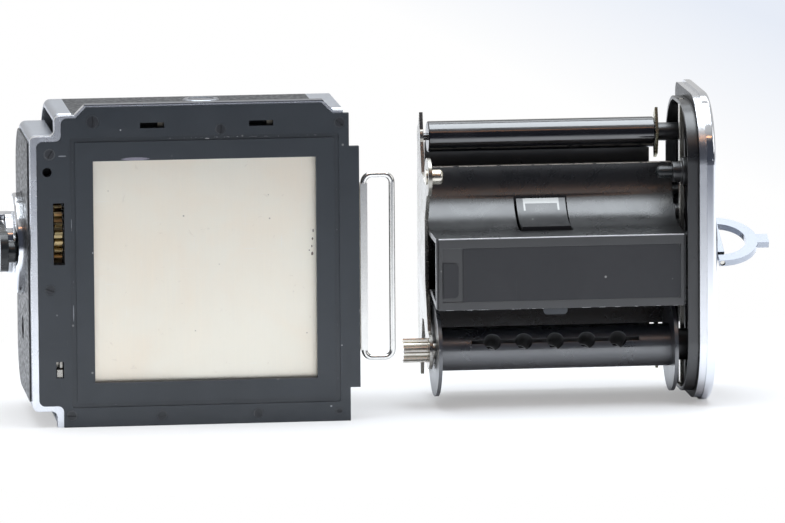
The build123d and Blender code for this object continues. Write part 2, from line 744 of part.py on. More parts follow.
def crank_hub():
    """The turning disc with the ears of the folding lever."""
    disc = rod_x(HUB_X, HUB_X + HUB_T, CRANK_Y, CRANK_Z, HUB_R)
    reach = LEVER_W / 2 + GAP
    for side in (-1, 1):
        z = CRANK_Z + side * (reach + EAR_T / 2)
        disc += block(LEVER_X, HUB_X + HUB_T, CRANK_Y + EAR_ROOT, LEVER_PIN_Y + EAR_HALF_L,
                      z - EAR_T / 2, z + EAR_T / 2)
    disc -= block(HUB_X, HUB_X + HUB_T, CRANK_Y + HUB_R - HUB_NOTCH, CRANK_Y + HUB_R, CRANK_Z - reach,
                  CRANK_Z + reach)
    return disc - rod_z(0, BODY_H, LEVER_PIN_X, LEVER_PIN_Y, LEVER_PIN_R)


def lever_pin():
    """The folding lever's hinge pin."""
    reach = LEVER_W / 2 + GAP + EAR_T
    return rod_z(CRANK_Z - reach, CRANK_Z + reach, LEVER_PIN_X, LEVER_PIN_Y, LEVER_PIN_R)


def crank_lever():
    """The folding lever, lying over the hub."""
    half_w = LEVER_W / 2
    arm = block(LEVER_X, LEVER_X + LEVER_T, LEVER_PIN_Y - LEVER_REACH, LEVER_PIN_Y, CRANK_Z - half_w,
                CRANK_Z + half_w)
    ends = [e for e in arm.edges().filter_by(Axis.X) if e.center().Y < CRANK_Y]
    arm = fillet(ends, half_w * 0.8)
    arm += rod_z(CRANK_Z - half_w, CRANK_Z + half_w, LEVER_PIN_X, LEVER_PIN_Y, LEVER_T / 2)
    return arm - rod_z(0, BODY_H, LEVER_PIN_X, LEVER_PIN_Y, LEVER_PIN_R + FIT)


def crank_grip():
    """The finger grip on the lever's inner side."""
    y = LEVER_PIN_Y - LEVER_REACH + GRIP_R + GRIP_INSET
    x0 = LEVER_X + LEVER_T
    grip = rod_x(x0, x0 + GRIP_T, y, CRANK_Z, GRIP_R)
    return fillet(grip.edges().group_by(Axis.X)[-1], GRIP_R / 5)


def timing_gear():
    """The small gear on the crank's shaft, in mesh with the drive gear."""
    face = gear_face(TIMING_TEETH, DRIVE_MODULE, DRIVE_ANGLE) - Circle(SHAFT_R)
    return along_x(Pos(CRANK_Y, CRANK_Z) * face, DRIVE_X, DRIVE_X + DRIVE_W)


def winding_gear():
    """The large gear on the crank's shaft, which turns the take-up spool when the insert is in."""
    face = gear_face(WIND_TEETH, WIND_MODULE, WIND_ANGLE) - Circle(SHAFT_R)
    return along_x(Pos(CRANK_Y, CRANK_Z) * face, WIND_X, WIND_X + WIND_W)


def drive_gear():
    """The brass gear that the camera turns, through the slot."""
    face = gear_face(DRIVE_TEETH, DRIVE_MODULE, DRIVE_ANGLE + 180 + 180 / DRIVE_TEETH)
    gear = along_x(Pos(DRIVE_Y, DRIVE_Z) * face, DRIVE_X, DRIVE_X + DRIVE_W)
    hub = rod_x(COUNTER_X + GAP, DRIVE_X, DRIVE_Y, DRIVE_Z, DRIVE_HUB_R)
    return gear + hub - rod_x(-CASE_LEFT, WIND_X, DRIVE_Y, DRIVE_Z, DRIVE_AXLE_R + FIT)


def drive_axle():
    """The fixed stud that the drive gear turns on."""
    return rod_x(-CASE_LEFT, DRIVE_X + DRIVE_W + 0.1, DRIVE_Y, DRIVE_Z, DRIVE_AXLE_R)


def counter_dial():
    """The frame counter's disc, behind its window."""
    x0 = COUNTER_X + GAP
    disc = rod_x(x0, x0 + DIAL_T, DIAL_Y, DIAL_Z, DIAL_R)
    return disc - rod_x(x0, x0 + DIAL_T, DIAL_Y, DIAL_Z, COUNTER_AXLE_R + FIT)


def counter_axle():
    """The counter disc's stud."""
    x1 = COUNTER_X + DIAL_T + GAP + COUNTER_AXLE_END
    return rod_x(COUNTER_X, x1, DIAL_Y, DIAL_Z, COUNTER_AXLE_R)


def counter_window():
    """The clear window over the counter."""
    x0 = -CASE_LEFT + GAP
    return rod_x(x0, x0 + WINDOW_T, DIAL_Y, DIAL_Z + DIAL_R / 2, WINDOW_R)


def counter_reset_lever():
    """The bright ends of the counter's reset lever, in the small slot."""
    half = PEEP_SLOT_W / 2
    tip = half - RESET_CLEAR
    middle = (PEEP_SLOT_LOW + PEEP_SLOT_HIGH) / 2
    upper = block(PEEP_SLOT_X, PEEP_SLOT_X + tip, RESET_FRONT[0], CAVITY_FRONT, middle + GAP, PEEP_SLOT_HIGH)
    lower = block(PEEP_SLOT_X - tip, PEEP_SLOT_X + tip, RESET_FRONT[1], CAVITY_FRONT, PEEP_SLOT_LOW, middle)
    back = block(PEEP_SLOT_X - half, PEEP_SLOT_X + half, CAVITY_FRONT, CAVITY_FRONT + RESET_T,
                 PEEP_SLOT_LOW - RESET_SPREAD, PEEP_SLOT_HIGH + RESET_SPREAD)
    return upper + lower + back


def cover_face(inset):
    """The cover's outline in (y, z), round where it meets the housing's rear corners."""
    front, back = COVER_FRONT + inset, 2 * ROLL_Y - COVER_FRONT - inset
    face = Pos(ROLL_Y, MID_Z) * Rectangle(back - front, BODY_H - 2 * inset)
    columns = face.vertices().group_by(Axis.X)
    face = fillet(columns[0], REAR_CORNER - inset)
    columns = face.vertices().group_by(Axis.X)
    return fillet(columns[-1], COVER_FRONT_CORNER)


def lip_face(inset):
    """The light trap lip's outline, which fits the chamber either way up."""
    half = CAVITY_BACK - ROLL_Y - LIP_GAP - inset
    high = BODY_H - 2 * (CAVITY_LOW + LIP_GAP + inset)
    return Pos(ROLL_Y, MID_Z) * RectangleRounded(2 * half, high, CAVITY_CORNER - LIP_GAP - inset)


def cover_plate():
    """The cover's inner plate, with the bolts' guide strip."""
    plate = along_x(cover_face(COVER_INNER_INSET), COVER_X, COVER_X + COVER_T)
    half = BOLT_W / 2 + STRIP_MARGIN
    low = CAVITY_LOW + STRIP_END
    plate += block(COVER_X - STRIP_T, COVER_X, ROLL_Y - half, ROLL_Y + half, low, BODY_H - low)
    return plate - key_bore()


def key_bore():
    """The key shaft's bore through the cover."""
    return rod_x(COVER_X - STRIP_T, DIAL_FLOOR, ROLL_Y, MID_Z, KEY_SHAFT_R + FIT)


def cover_rim():
    """The bright outer plate of the cover."""
    x0 = COVER_X + COVER_T
    rim = along_x(cover_face(0), x0, x0 + COVER_RIM_T)
    rim = fillet(rim.edges().group_by(Axis.X)[-1], COVER_RIM_EDGE)
    return rim - along_x(cover_face(COVER_SKIN_INSET), DIAL_FLOOR - SKIN, DIAL_FLOOR) - key_bore()


def cover_covering():
    """The covering panel in the cover's outer face."""
    return along_x(cover_face(COVER_SKIN_INSET), DIAL_FLOOR - SKIN, DIAL_FLOOR) - key_bore()


def cover_lip():
    """The light trap lip inside the cover."""
    lip = along_x(lip_face(0) - lip_face(LIP_T), COVER_X - LIP_L, COVER_X)
    half = BOLT_W / 2 + GAP
    return lip - block(BOLT_X - GAP, BOLT_X + BOLT_T + GAP, ROLL_Y - half, ROLL_Y + half, -1, BODY_H + 1)


def reminder_dial():
    """The ring round the key."""
    x0 = DIAL_FLOOR + GAP
    ring = rod_x(x0, x0 + DIAL_RING_T, ROLL_Y, MID_Z, DIAL_RING_R)
    ring = chamfer(ring.edges().group_by(Axis.X)[-1], KEY_EDGE)
    return ring - rod_x(x0, x0 + DIAL_RING_T, ROLL_Y, MID_Z, KEY_R + GAP)


def key_disc():
    """The key's disc, shaft and hinge rib."""
    disc = rod_x(KEY_X, KEY_X + KEY_T, ROLL_Y, MID_Z, KEY_R)
    disc = chamfer(disc.edges().group_by(Axis.X)[-1], KEY_EDGE)
    disc += rod_x(BOLT_X + BOLT_T, KEY_X, ROLL_Y, MID_Z, KEY_SHAFT_R)
    half = BOW_R - BOW_W - KEY_RIB_GAP
    rib = block(KEY_X + KEY_T, BOW_HINGE_X + BOW_T / 2, -half, half, -KEY_RIB_HALF, KEY_RIB_HALF)
    rib -= rod_y(-BOW_R, BOW_R, BOW_HINGE_X, 0, BOW_PIN_R)
    return disc + key_turned(rib)


def key_turned(piece):
    """A piece drawn about the X axis, set on the key's axis at the key's angle."""
    return Pos(0, ROLL_Y, MID_Z) * Rot(KEY_TILT, 0, 0) * piece


def bow_pin():
    """The bow's hinge pin."""
    reach = BOW_R - BOW_PIN_INSET
    return key_turned(rod_y(-reach, reach, BOW_HINGE_X, 0, BOW_PIN_R))


def key_bow():
    """The half ring that folds out of the key."""
    ring = Circle(BOW_R) - Circle(BOW_R - BOW_W)
    half = ring & (Pos(BOW_R, 0) * Rectangle(2 * BOW_R, 3 * BOW_R))
    ends = Pos(0, BOW_R - BOW_W / 2) * Rectangle(BOW_T, BOW_W)
    tab = Pos(BOW_R, 0) * Rectangle(2 * BOW_TAB, 2 * BOW_TAB_HALF)
    face = half + ends + Pos(0, -2 * BOW_R + BOW_W) * ends + tab
    bow = extrude(Plane.XY.offset(-BOW_T / 2) * face, amount=BOW_T)
    bow = Pos(BOW_HINGE_X, 0, 0) * bow
    bow -= rod_y(-BOW_R - 1, BOW_R + 1, BOW_HINGE_X, 0, BOW_PIN_R + FIT)
    return key_turned(bow)


def latch_cam():
    """The oval cam behind the cover, on the key's shaft."""
    face = Pos(ROLL_Y, MID_Z) * Ellipse(CAM_LONG_R, CAM_SHORT_R)
    return along_x(face, BOLT_X, BOLT_X + BOLT_T)


def latch_bolt(side):
    """A bolt that the cam drives up or down into its keeper."""
    half = BOLT_W / 2
    inner = MID_Z + side * BOLT_IN
    outer = MID_Z + side * (MID_Z - CAVITY_LOW - LIP_GAP - BOLT_SET)
    return block(BOLT_X, BOLT_X + BOLT_T, ROLL_Y - half, ROLL_Y + half, min(inner, outer), max(inner, outer))


def spool_gap(face, z, side, bay_end):
    """A body face less the bay that the spool at this height turns in."""
    depth, rise = SPOOL_Y - PANEL_Y, side * (z - (PANEL_HIGH if side > 0 else PANEL_LOW))
    reach = hypot(depth, rise)
    ramp = atan2(rise, depth) - asin_ratio(BAY_R / reach)
    length = sqrt(reach ** 2 - BAY_R ** 2)
    touch = (PANEL_Y + length * cos(ramp), z - side * (rise - length * sin(ramp)))
    foot = (PANEL_Y - BEYOND, touch[1] - side * (length + BEYOND / cos(ramp)) * sin(ramp))
    far = z + side * MID_Z
    end = radians(bay_end) * side
    rim = (SPOOL_Y + BAY_R * cos(end), z + BAY_R * sin(end))
    ledge = (rim[0] + BAY_LEDGE, rim[1])
    fall = rim[1] - side * BAY_RISE
    start_angle = atan2(touch[1] - z, touch[0] - SPOOL_Y)
    half_way = (start_angle + end) / 2
    middle = (SPOOL_Y + BAY_R * cos(half_way), z + BAY_R * sin(half_way))
    edge = [
        Line(foot, touch),
        ThreePointArc(touch, middle, rim),
        Line(rim, ledge),
        Line(ledge, (BODY_FAR, fall)),
        Line((BODY_FAR, fall), (BODY_FAR + BEYOND, fall)),
        Line((BODY_FAR + BEYOND, fall), (BODY_FAR + BEYOND, far)),
        Line((BODY_FAR + BEYOND, far), (PANEL_Y - BEYOND, far)),
        Line((PANEL_Y - BEYOND, far), foot),
    ]
    return face - make_face(Wire(edge))


def asin_ratio(ratio):
    """The angle whose sine is a ratio."""
    return atan2(ratio, sqrt(1 - ratio ** 2))


def body_outline():
    """The insert body's section: a rear face, two bays and a flat far side."""
    face = Pos((PANEL_Y + PANEL_T + BODY_FAR) / 2, MID_Z) * Rectangle(BODY_FAR - PANEL_Y - PANEL_T, BODY_H)
    face = spool_gap(face, SUPPLY_Z, 1, SUPPLY_BAY_END)
    return spool_gap(face, TAKE_UP_Z, -1, TAKE_UP_BAY_END)


def insert_body():
    """The hollow body between the two spools."""
    outline = body_outline()
    body = along_x(outline - offset(outline, -BODY_WALL), BODY_X, BODY_END)
    x0 = SPOOL_X + WINDOW_X
    body -= block(x0 - WINDOW_L / 2, x0 + WINDOW_L / 2, WINDOW_Y - WINDOW_D / 2, WINDOW_Y + WINDOW_D / 2,
                  MID_Z, SUPPLY_Z)
    for x, z in guide_places():
        body -= rod_y(BODY_FAR - BODY_WALL - 1, BODY_FAR + 1, x, z, GUIDE_PIN_R + FIT)
    return body


def guide_places():
    """Where the pressure plate's guide pins run."""
    middle = ROLLER_X + ROLLER_L / 2
    return [(middle + sx * GUIDE_X, MID_Z + sz * GUIDE_Z) for sx in (-1, 1) for sz in (-1, 1)]


def cover_posts():
    """The posts that tie the body to the cover."""
    posts = [rod_x(BODY_END, COVER_X, y, MID_Z + rise, COVER_POST_R) for y, rise in COVER_POSTS]
    return group(*posts, rod_x(BODY_END, COVER_X, SMALL_POST[0], MID_Z + SMALL_POST[1], SMALL_POST_R))


def rear_panel():
    """The panel on the body's rear face, recessed for its plates."""
    x0, x1 = SPOOL_X, BODY_END - BODY_INSET
    panel = block(x0, x1, PANEL_Y, PANEL_Y + PANEL_T, PANEL_LOW, PANEL_HIGH)
    x0, x1 = x0 + PLATE_MARGIN, x1 - PLATE_MARGIN
    return panel - block(x0, x1, PANEL_Y, PANEL_Y + PLATE_RECESS, NAME_PLATE_LOW, NAME_PLATE_HIGH)


def name_plate():
    """The bare name plate."""
    x0 = SPOOL_X + PLATE_MARGIN + NUMBER_PLATE_GAP + NUMBER_PLATE_L + NAME_PLATE_GAP
    x1 = BODY_END - BODY_INSET - PLATE_MARGIN
    middle = (NAME_PLATE_LOW + NAME_PLATE_HIGH) / 2
    face = Pos((x0 + x1) / 2, middle) * Rectangle(x1 - x0, NAME_PLATE_HIGH - NAME_PLATE_LOW)
    face = fillet(face.vertices().group_by(Axis.X)[-1], NAME_CORNER)
    return along_y(face, PANEL_Y + PLATE_RECESS / 5, PANEL_Y + PLATE_RECESS)


def number_plate():
    """The bare number plate."""
    x = SPOOL_X + PLATE_MARGIN + NUMBER_PLATE_GAP + NUMBER_PLATE_L / 2
    z = NAME_PLATE_LOW + NUMBER_PLATE_RISE + NUMBER_PLATE_H / 2
    face = Pos(x, z) * Rectangle(NUMBER_PLATE_L, NUMBER_PLATE_H)
    face = fillet(face.vertices().group_by(Axis.X)[-1], NUMBER_CORNER)
    return along_y(face, PANEL_Y, PANEL_Y + PLATE_RECESS)


def side_plate():
    """The bright plate at the insert's left end, which carries the spools and rollers."""
    x1 = SIDE_PLATE_X + SIDE_PLATE_T
    face = Pos(SPINE_Y, MID_Z) * RectangleRounded(SPINE_W, SPINE_H, SPINE_CORNER)
    for side in (-1, 1):
        z = SUPPLY_Z if side > 0 else TAKE_UP_Z
        roller_z = MID_Z + side * (ROLLER_Z - MID_Z)
        near, far, rise = ARM_FOOT
        foot_z = MID_Z + side * rise
        ends = (SPOOL_Y - ARM_HALF, z), (SPOOL_Y + ARM_HALF, z)
        arm = Polyline(*ends, (far, foot_z), (near, foot_z), close=True)
        near, far, rise = RIB_FOOT
        foot_z = MID_Z + side * rise
        ends = (ROLLER_Y - RIB_HALF, roller_z), (ROLLER_Y + RIB_HALF, roller_z)
        rib = Polyline(*ends, (far, foot_z), (near, foot_z), close=True)
        point = (ROLLER_Y + TIP_POINT[0], roller_z + side * TIP_POINT[1])
        face += make_face(arm) + make_face(rib) + make_face(Polyline(ends[0], point, ends[1], close=True))
        face += Pos(SPOOL_Y, z) * Circle(SPOOL_EYE_R) + Pos(ROLLER_Y, roller_z) * Circle(ROLLER_EYE_R)
    plate = along_x(face, SIDE_PLATE_X, x1)
    plate -= rod_x(SIDE_PLATE_X, x1, SPOOL_Y, TAKE_UP_Z, PINION_SHAFT_R + FIT)
    plate -= rod_x(SIDE_PLATE_X, x1, SPOOL_Y, SUPPLY_Z, STUD_R)
    for z in (ROLLER_Z, BODY_H - ROLLER_Z):
        plate -= rod_x(SIDE_PLATE_X, x1, ROLLER_Y, z, ROLLER_PIN_R + FIT)
    return plate


def roller_brackets():
    """The pointed brackets at the rollers' cover end."""
    x0 = ROLLER_X + ROLLER_L + GAP
    brackets = []
    for side in (-1, 1):
        z = MID_Z + side * (ROLLER_Z - MID_Z)
        points = [(ROLLER_Y + y, z + side * rise) for y, rise in BRACKET]
        plate = along_x(make_face(Polyline(*points, close=True)), x0, x0 + BRACKET_T)
        brackets.append(plate - rod_x(x0, x0 + BRACKET_T, ROLLER_Y, z, ROLLER_PIN_R + FIT))
    return group(*brackets)


def roller_posts():
    """The black posts from the cover to the brackets."""
    x0 = ROLLER_X + ROLLER_L + GAP + BRACKET_T
    posts = []
    for side in (-1, 1):
        z = MID_Z + side * (ROLLER_Z - MID_Z)
        post = rod_x(x0, COVER_X, ROLLER_Y, z, POST_R)
        posts.append(post - rod_x(x0, x0 + BRACKET_PIN, ROLLER_Y, z, ROLLER_PIN_R + FIT))
    return group(*posts)


def guide_roller(side):
    """A glossy roller with its end pins."""
    z = MID_Z + side * (ROLLER_Z - MID_Z)
    roller = rod_x(ROLLER_X, ROLLER_X + ROLLER_L, ROLLER_Y, z, ROLLER_R)
    ends = roller.edges().group_by(Axis.X)
    roller = chamfer(ends[0] + ends[-1], ROLLER_EDGE)
    x1 = ROLLER_X + ROLLER_L + GAP + BRACKET_T + BRACKET_PIN / 2
    return roller + rod_x(SIDE_PLATE_X, x1, ROLLER_Y, z, ROLLER_PIN_R)


def take_up_spool():
    """The spool that the film winds onto, with its row of openings."""
    x1 = SPOOL_X + SPOOL_L
    core = rod_x(SPOOL_X, x1, SPOOL_Y, TAKE_UP_Z, SPOOL_CORE_R)
    core += rod_x(SPOOL_X, SPOOL_X + SPOOL_FLANGE_T, SPOOL_Y, TAKE_UP_Z, SPOOL_FLANGE_R)
    core += rod_x(x1 - SPOOL_FLANGE_T, x1, SPOOL_Y, TAKE_UP_Z, SPOOL_FLANGE_R)
    middle = SPOOL_X + SPOOL_L / 2
    turn = Pos(0, SPOOL_Y, TAKE_UP_Z) * Rot(SPOOL_TURN, 0, 0)
    deep = SPOOL_CORE_R + 1
    for step in range(-2, 3):
        core -= turn * rod_y(-deep, deep, middle + step * SPOOL_HOLE_PITCH, 0, SPOOL_HOLE_R)
    half_l, half_w = SPOOL_SLIT_L / 2, SPOOL_SLIT_W / 2
    core -= turn * block(middle - half_l, middle + half_l, -deep, deep, -half_w, half_w)
    core -= rod_x(SPOOL_X, SPOOL_X + SPOOL_SEAT, SPOOL_Y, TAKE_UP_Z, PINION_SHAFT_R)
    return core - rod_x(x1 - SPOOL_SEAT, x1, SPOOL_Y, TAKE_UP_Z, SPOOL_BORE_R)


def take_up_pinion():
    """The splined pinion that drives the take-up spool."""
    phase = WIND_ANGLE + 180 / PINION_TEETH
    face = Pos(SPOOL_Y, TAKE_UP_Z) * gear_face(PINION_TEETH, WIND_MODULE, phase)
    x1 = SIDE_PLATE_X - FIT
    teeth = along_x(face, x1 - PINION_L, x1)
    return teeth + rod_x(x1, SPOOL_X + SPOOL_SEAT_USED, SPOOL_Y, TAKE_UP_Z, PINION_SHAFT_R)


def take_up_hub():
    """The fixed hub at the spool's cover end."""
    x1 = SPOOL_X + SPOOL_L
    hub = rod_x(x1 + GAP, COVER_X, SPOOL_Y, TAKE_UP_Z, TAKE_UP_HUB_R)
    return hub + rod_x(x1 - HUB_SEAT_USED, x1 + GAP, SPOOL_Y, TAKE_UP_Z, SPOOL_BORE_R - FIT)


def supply_stud():
    """The rounded stud at the left end of the film spool's place."""
    x1 = SPOOL_X + STUD_OUT
    stud = rod_x(SIDE_PLATE_X - STUD_BACK, x1, SPOOL_Y, SUPPLY_Z, STUD_R)
    return fillet(stud.edges().group_by(Axis.X)[-1], STUD_R * 0.6)


def supply_post():
    """The stepped black post at the cover end of the film spool's place."""
    x0 = SPOOL_X + SPOOL_L
    post = rod_x(x0 + SUPPLY_NECK_L, COVER_X, SPOOL_Y, SUPPLY_Z, SUPPLY_POST_R)
    post += rod_x(x0, x0 + SUPPLY_NECK_L, SPOOL_Y, SUPPLY_Z, SUPPLY_NECK_R)
    return post - rod_x(x0, COVER_X - PLUNGER_FLOOR, SPOOL_Y, SUPPLY_Z, PLUNGER_R + FIT)


def supply_plunger():
    """The sprung pin that holds the film spool."""
    x0 = SPOOL_X + SPOOL_L - PLUNGER_OUT
    pin = rod_x(x0, COVER_X - PLUNGER_FLOOR - PLUNGER_TRAVEL - GAP, SPOOL_Y, SUPPLY_Z, PLUNGER_R)
    return fillet(pin.edges().group_by(Axis.X)[0], PLUNGER_R * 0.8)


def pressure_plate():
    """The plate that holds the film flat, with its guide pins."""
    middle = ROLLER_X + ROLLER_L / 2
    face = Pos(middle, MID_Z) * RectangleRounded(PRESSURE_L, PRESSURE_H, PRESSURE_CORNER)
    plate = along_y(face, PRESSURE_BACK - PRESSURE_T, PRESSURE_BACK)
    for x, z in guide_places():
        y0 = BODY_FAR - BODY_WALL - GUIDE_PIN_END
        plate += rod_y(y0, PRESSURE_BACK - PRESSURE_T, x, z, GUIDE_PIN_R)
    return plate


def pressure_springs():
    """The bowed leaf springs behind the pressure plate."""
    x0 = ROLLER_X + ROLLER_L / 2
    top = PRESSURE_BACK - PRESSURE_T - PRESSURE_TRAVEL - GAP
    leaves = []
    for z in (MID_Z - LEAF_Z, MID_Z + LEAF_Z):
        wide = (z - LEAF_HALF_W, z + LEAF_HALF_W)
        leaf = block(x0 - LEAF_HALF_L, x0 + LEAF_HALF_L, BODY_FAR, BODY_FAR + LEAF_T, *wide)
        leaf += block(x0 - LEAF_TOP_HALF, x0 + LEAF_TOP_HALF, BODY_FAR, top, *wide)
        inner = LEAF_TOP_HALF - LEAF_T
        leaves.append(leaf - block(x0 - inner, x0 + inner, BODY_FAR + LEAF_T, top - LEAF_T, *wide))
    return group(*leaves)


def finger_place():
    """The sensing finger's hinge, at the window's near edge inside the body."""
    return WINDOW_Y - WINDOW_D / 2 + FINGER_SET, PANEL_HIGH - FINGER_SINK


def sensing_finger():
    """The curved finger that feels the film roll through the window."""
    y, z = finger_place()
    middle = SPOOL_X + WINDOW_X
    half = WINDOW_L / 2 - FINGER_MARGIN
    inner = BAY_R - FINGER_PROUD
    near, far = WINDOW_Y - WINDOW_D / 2 + FINGER_START, WINDOW_Y + WINDOW_D / 2 - FINGER_END
    ring = Pos(SPOOL_Y, SUPPLY_Z) * (Circle(inner + FINGER_T) - Circle(inner))
    ring &= Pos((near + far) / 2, SUPPLY_Z - BAY_R) * Rectangle(far - near, 2 * BAY_R)
    finger = along_x(ring, middle - half, middle + half)
    x0, x1 = middle - FINGER_ARM_HALF, middle + FINGER_ARM_HALF
    finger += block(x0, x1, near, near + FINGER_ARM_W, z, SUPPLY_Z - inner - FINGER_T / 2)
    finger += rod_x(x0, x1, y, z, KNUCKLE_R)
    return finger - rod_x(x0, x1, y, z, FINGER_PIN_R + FIT)


def finger_bracket():
    """The ears and pin under the window that carry the finger."""
    y, z = finger_place()
    middle = SPOOL_X + WINDOW_X
    inner = FINGER_ARM_HALF + FINGER_EAR_GAP
    reach = inner + FINGER_EAR_T
    bracket = rod_x(middle - reach, middle + reach, y, z, FINGER_PIN_R)
    y0, y1 = PANEL_Y + PANEL_T + BODY_WALL, y + FINGER_EAR_END
    for side in (-1, 1):
        x0, x1 = sorted((middle + side * inner, middle + side * reach))
        bracket += block(x0, x1, y0, y1, PANEL_HIGH - FINGER_EAR_DROP, PANEL_HIGH - BODY_WALL)
    return bracket


def build():
    """Every node by name, in the modelling frame."""
    return {
        "front_plate": front_plate(),
        "front_frame": front_frame(),
        "plate_screws": plate_screws(),
        "housing_shell": housing_shell(),
        "covering": covering(),
        "mouth_band": mouth_band(),
        "crank_casting": crank_casting(),
        "side_covering": side_covering(),
        "gear_partition": gear_partition(),
        "gate_rails": gate_rails(),
        "slide_seal": slide_seal(),
        "button_base": button_base(),
        "crank_base": crank_base(),
        "gear_axles": group(drive_axle(), counter_axle()),
        "counter_window": counter_window(),
        "counter_reset_lever": counter_reset_lever(),
        "dark_slide": dark_slide(),
        "slide_hem": slide_hem(),
        "slide_bail": slide_bail(),
        "catch_bar": catch_bar(),
        "release_button": release_button(),
        "crank_shaft": crank_shaft(),
        "crank_hub": crank_hub(),
        "lever_pin": lever_pin(),
        "timing_gear": timing_gear(),
        "winding_gear": winding_gear(),
        "crank_lever": crank_lever(),
        "crank_grip": crank_grip(),
        "drive_gear": drive_gear(),
        "counter_dial": counter_dial(),
        "reminder_dial": reminder_dial(),
        "cover_plate": cover_plate(),
        "cover_rim": cover_rim(),
        "cover_covering": cover_covering(),
        "cover_lip": cover_lip(),
        "insert_body": insert_body(),
        "cover_posts": cover_posts(),
        "rear_panel": rear_panel(),
        "name_plate": name_plate(),
        "number_plate": number_plate(),
        "side_plate": side_plate(),
        "roller_brackets": roller_brackets(),
        "roller_posts": roller_posts(),
        "supply_stud": supply_stud(),
        "spool_posts": group(take_up_hub(), supply_post()),
        "pressure_springs": pressure_springs(),
        "finger_bracket": finger_bracket(),
        "key_disc": key_disc(),
        "bow_pin": bow_pin(),
        "latch_cam": latch_cam(),
        "key_bow": key_bow(),
        "upper_bolt": latch_bolt(1),
        "lower_bolt": latch_bolt(-1),
        "take_up_spool": take_up_spool(),
        "take_up_pinion": take_up_pinion(),
        "upper_roller": guide_roller(1),
        "lower_roller": guide_roller(-1),
        "supply_plunger": supply_plunger(),
        "pressure_plate": pressure_plate(),
        "sensing_finger": sensing_finger(),
    }


nodes = build()
corners = Compound(children=[s for n in nodes.values() for s in n.solids()]).bounding_box()
SHIFT = (-(corners.min.X + corners.max.X) / 2, -(corners.min.Y + corners.max.Y) / 2, -corners.min.Z)
os.makedirs("parts", exist_ok=True)
for name, node in nodes.items():
    export_step(Pos(*SHIFT) * node, "parts/" + name + ".step")
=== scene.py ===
import json
from math import cos, pi, radians, sin

import bmesh
import bpy
from mathutils import Matrix, Vector


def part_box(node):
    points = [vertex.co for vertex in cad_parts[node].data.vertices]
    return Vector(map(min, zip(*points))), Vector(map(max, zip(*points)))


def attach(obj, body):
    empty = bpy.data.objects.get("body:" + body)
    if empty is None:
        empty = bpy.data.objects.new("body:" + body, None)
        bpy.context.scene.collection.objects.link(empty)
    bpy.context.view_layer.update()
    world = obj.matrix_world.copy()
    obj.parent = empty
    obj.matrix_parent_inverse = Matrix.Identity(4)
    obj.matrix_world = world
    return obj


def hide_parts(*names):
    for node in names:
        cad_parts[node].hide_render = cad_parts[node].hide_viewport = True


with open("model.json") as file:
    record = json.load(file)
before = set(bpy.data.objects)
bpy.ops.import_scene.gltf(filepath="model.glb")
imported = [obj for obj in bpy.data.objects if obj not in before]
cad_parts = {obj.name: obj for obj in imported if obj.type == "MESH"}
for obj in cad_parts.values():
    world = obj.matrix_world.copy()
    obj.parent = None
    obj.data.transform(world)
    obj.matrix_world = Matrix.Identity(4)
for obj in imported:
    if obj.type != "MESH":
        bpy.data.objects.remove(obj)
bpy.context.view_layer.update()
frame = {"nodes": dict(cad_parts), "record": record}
nodes = frame["nodes"]
scene = bpy.context.scene
MM = 0.001
MM_PER_M = 1000.0
SHIFT = Vector((-51.175, -25.5, 0.0))  # from the frame the part is modelled in to the shared frame, in mm
WHITE = (1.0, 1.0, 1.0)


# ---------------------------------------------------------------- nodes

def join(tree, source, target):
    """A link from one socket to another."""
    tree.links.new(source, target)


def feed(tree, socket, value):
    """A link into a socket, or the socket's own number, vector or colour."""
    if isinstance(value, bpy.types.NodeSocket):
        join(tree, value, socket)
    elif socket.type == "RGBA":
        socket.default_value = (*value, 1.0)
    else:
        socket.default_value = value


def add(tree, kind, values=None, **settings):
    """A node in a tree, with its settings and what its sockets are fed."""
    made = tree.nodes.new(kind)
    for key, value in settings.items():
        setattr(made, key, value)
    for key, value in (values or {}).items():
        feed(tree, made.inputs[key], value)
    return made


def maths(tree, operation, *values, clamp=False):
    """The result of a Math node on sockets or numbers."""
    return add(tree, "ShaderNodeMath", dict(enumerate(values)), operation=operation, use_clamp=clamp).outputs[0]


def vector_maths(tree, operation, *values):
    """The result of a Vector Math node on sockets or vectors."""
    made = add(tree, "ShaderNodeVectorMath", dict(enumerate(values)), operation=operation)
    return made.outputs["Value" if operation in ("LENGTH", "DOT_PRODUCT") else "Vector"]


def split_vector(tree, vector):
    """A vector's three parts."""
    return add(tree, "ShaderNodeSeparateXYZ", {0: vector}).outputs


def blend_colour(tree, factor, first, second):
    """The result of a colour mix."""
    return add(tree, "ShaderNodeMix", {0: factor, 6: first, 7: second}, data_type="RGBA").outputs[2]


def spread(tree, value, from_low, from_high, to_low=0.0, to_high=1.0):
    """A value carried from one range to another, clamped."""
    made = add(tree, "ShaderNodeMapRange", {0: value, 1: from_low, 2: from_high, 3: to_low, 4: to_high})
    return made.outputs[0]


def noise(tree, vector, scale, detail=3.0, rough=0.55, warp=0.0):
    """A noise texture's value at a vector."""
    return add(tree, "ShaderNodeTexNoise", {"Vector": vector, "Scale": scale, "Detail": detail,
                                            "Roughness": rough, "Distortion": warp}).outputs[0]


def mix_shaders(tree, factor, first, second):
    """The result of a mix of two shaders."""
    return add(tree, "ShaderNodeMixShader", {0: factor, 1: first, 2: second}).outputs[0]


def straight_rays(tree):
    """1 for rays straight from the camera or through clear pieces, 0 for the rest."""
    path = add(tree, "ShaderNodeLightPath")
    return path.outputs, maths(tree, "MAXIMUM", path.outputs["Is Camera Ray"],
                               path.outputs["Is Transmission Ray"])


# ---------------------------------------------------------------- shared groups

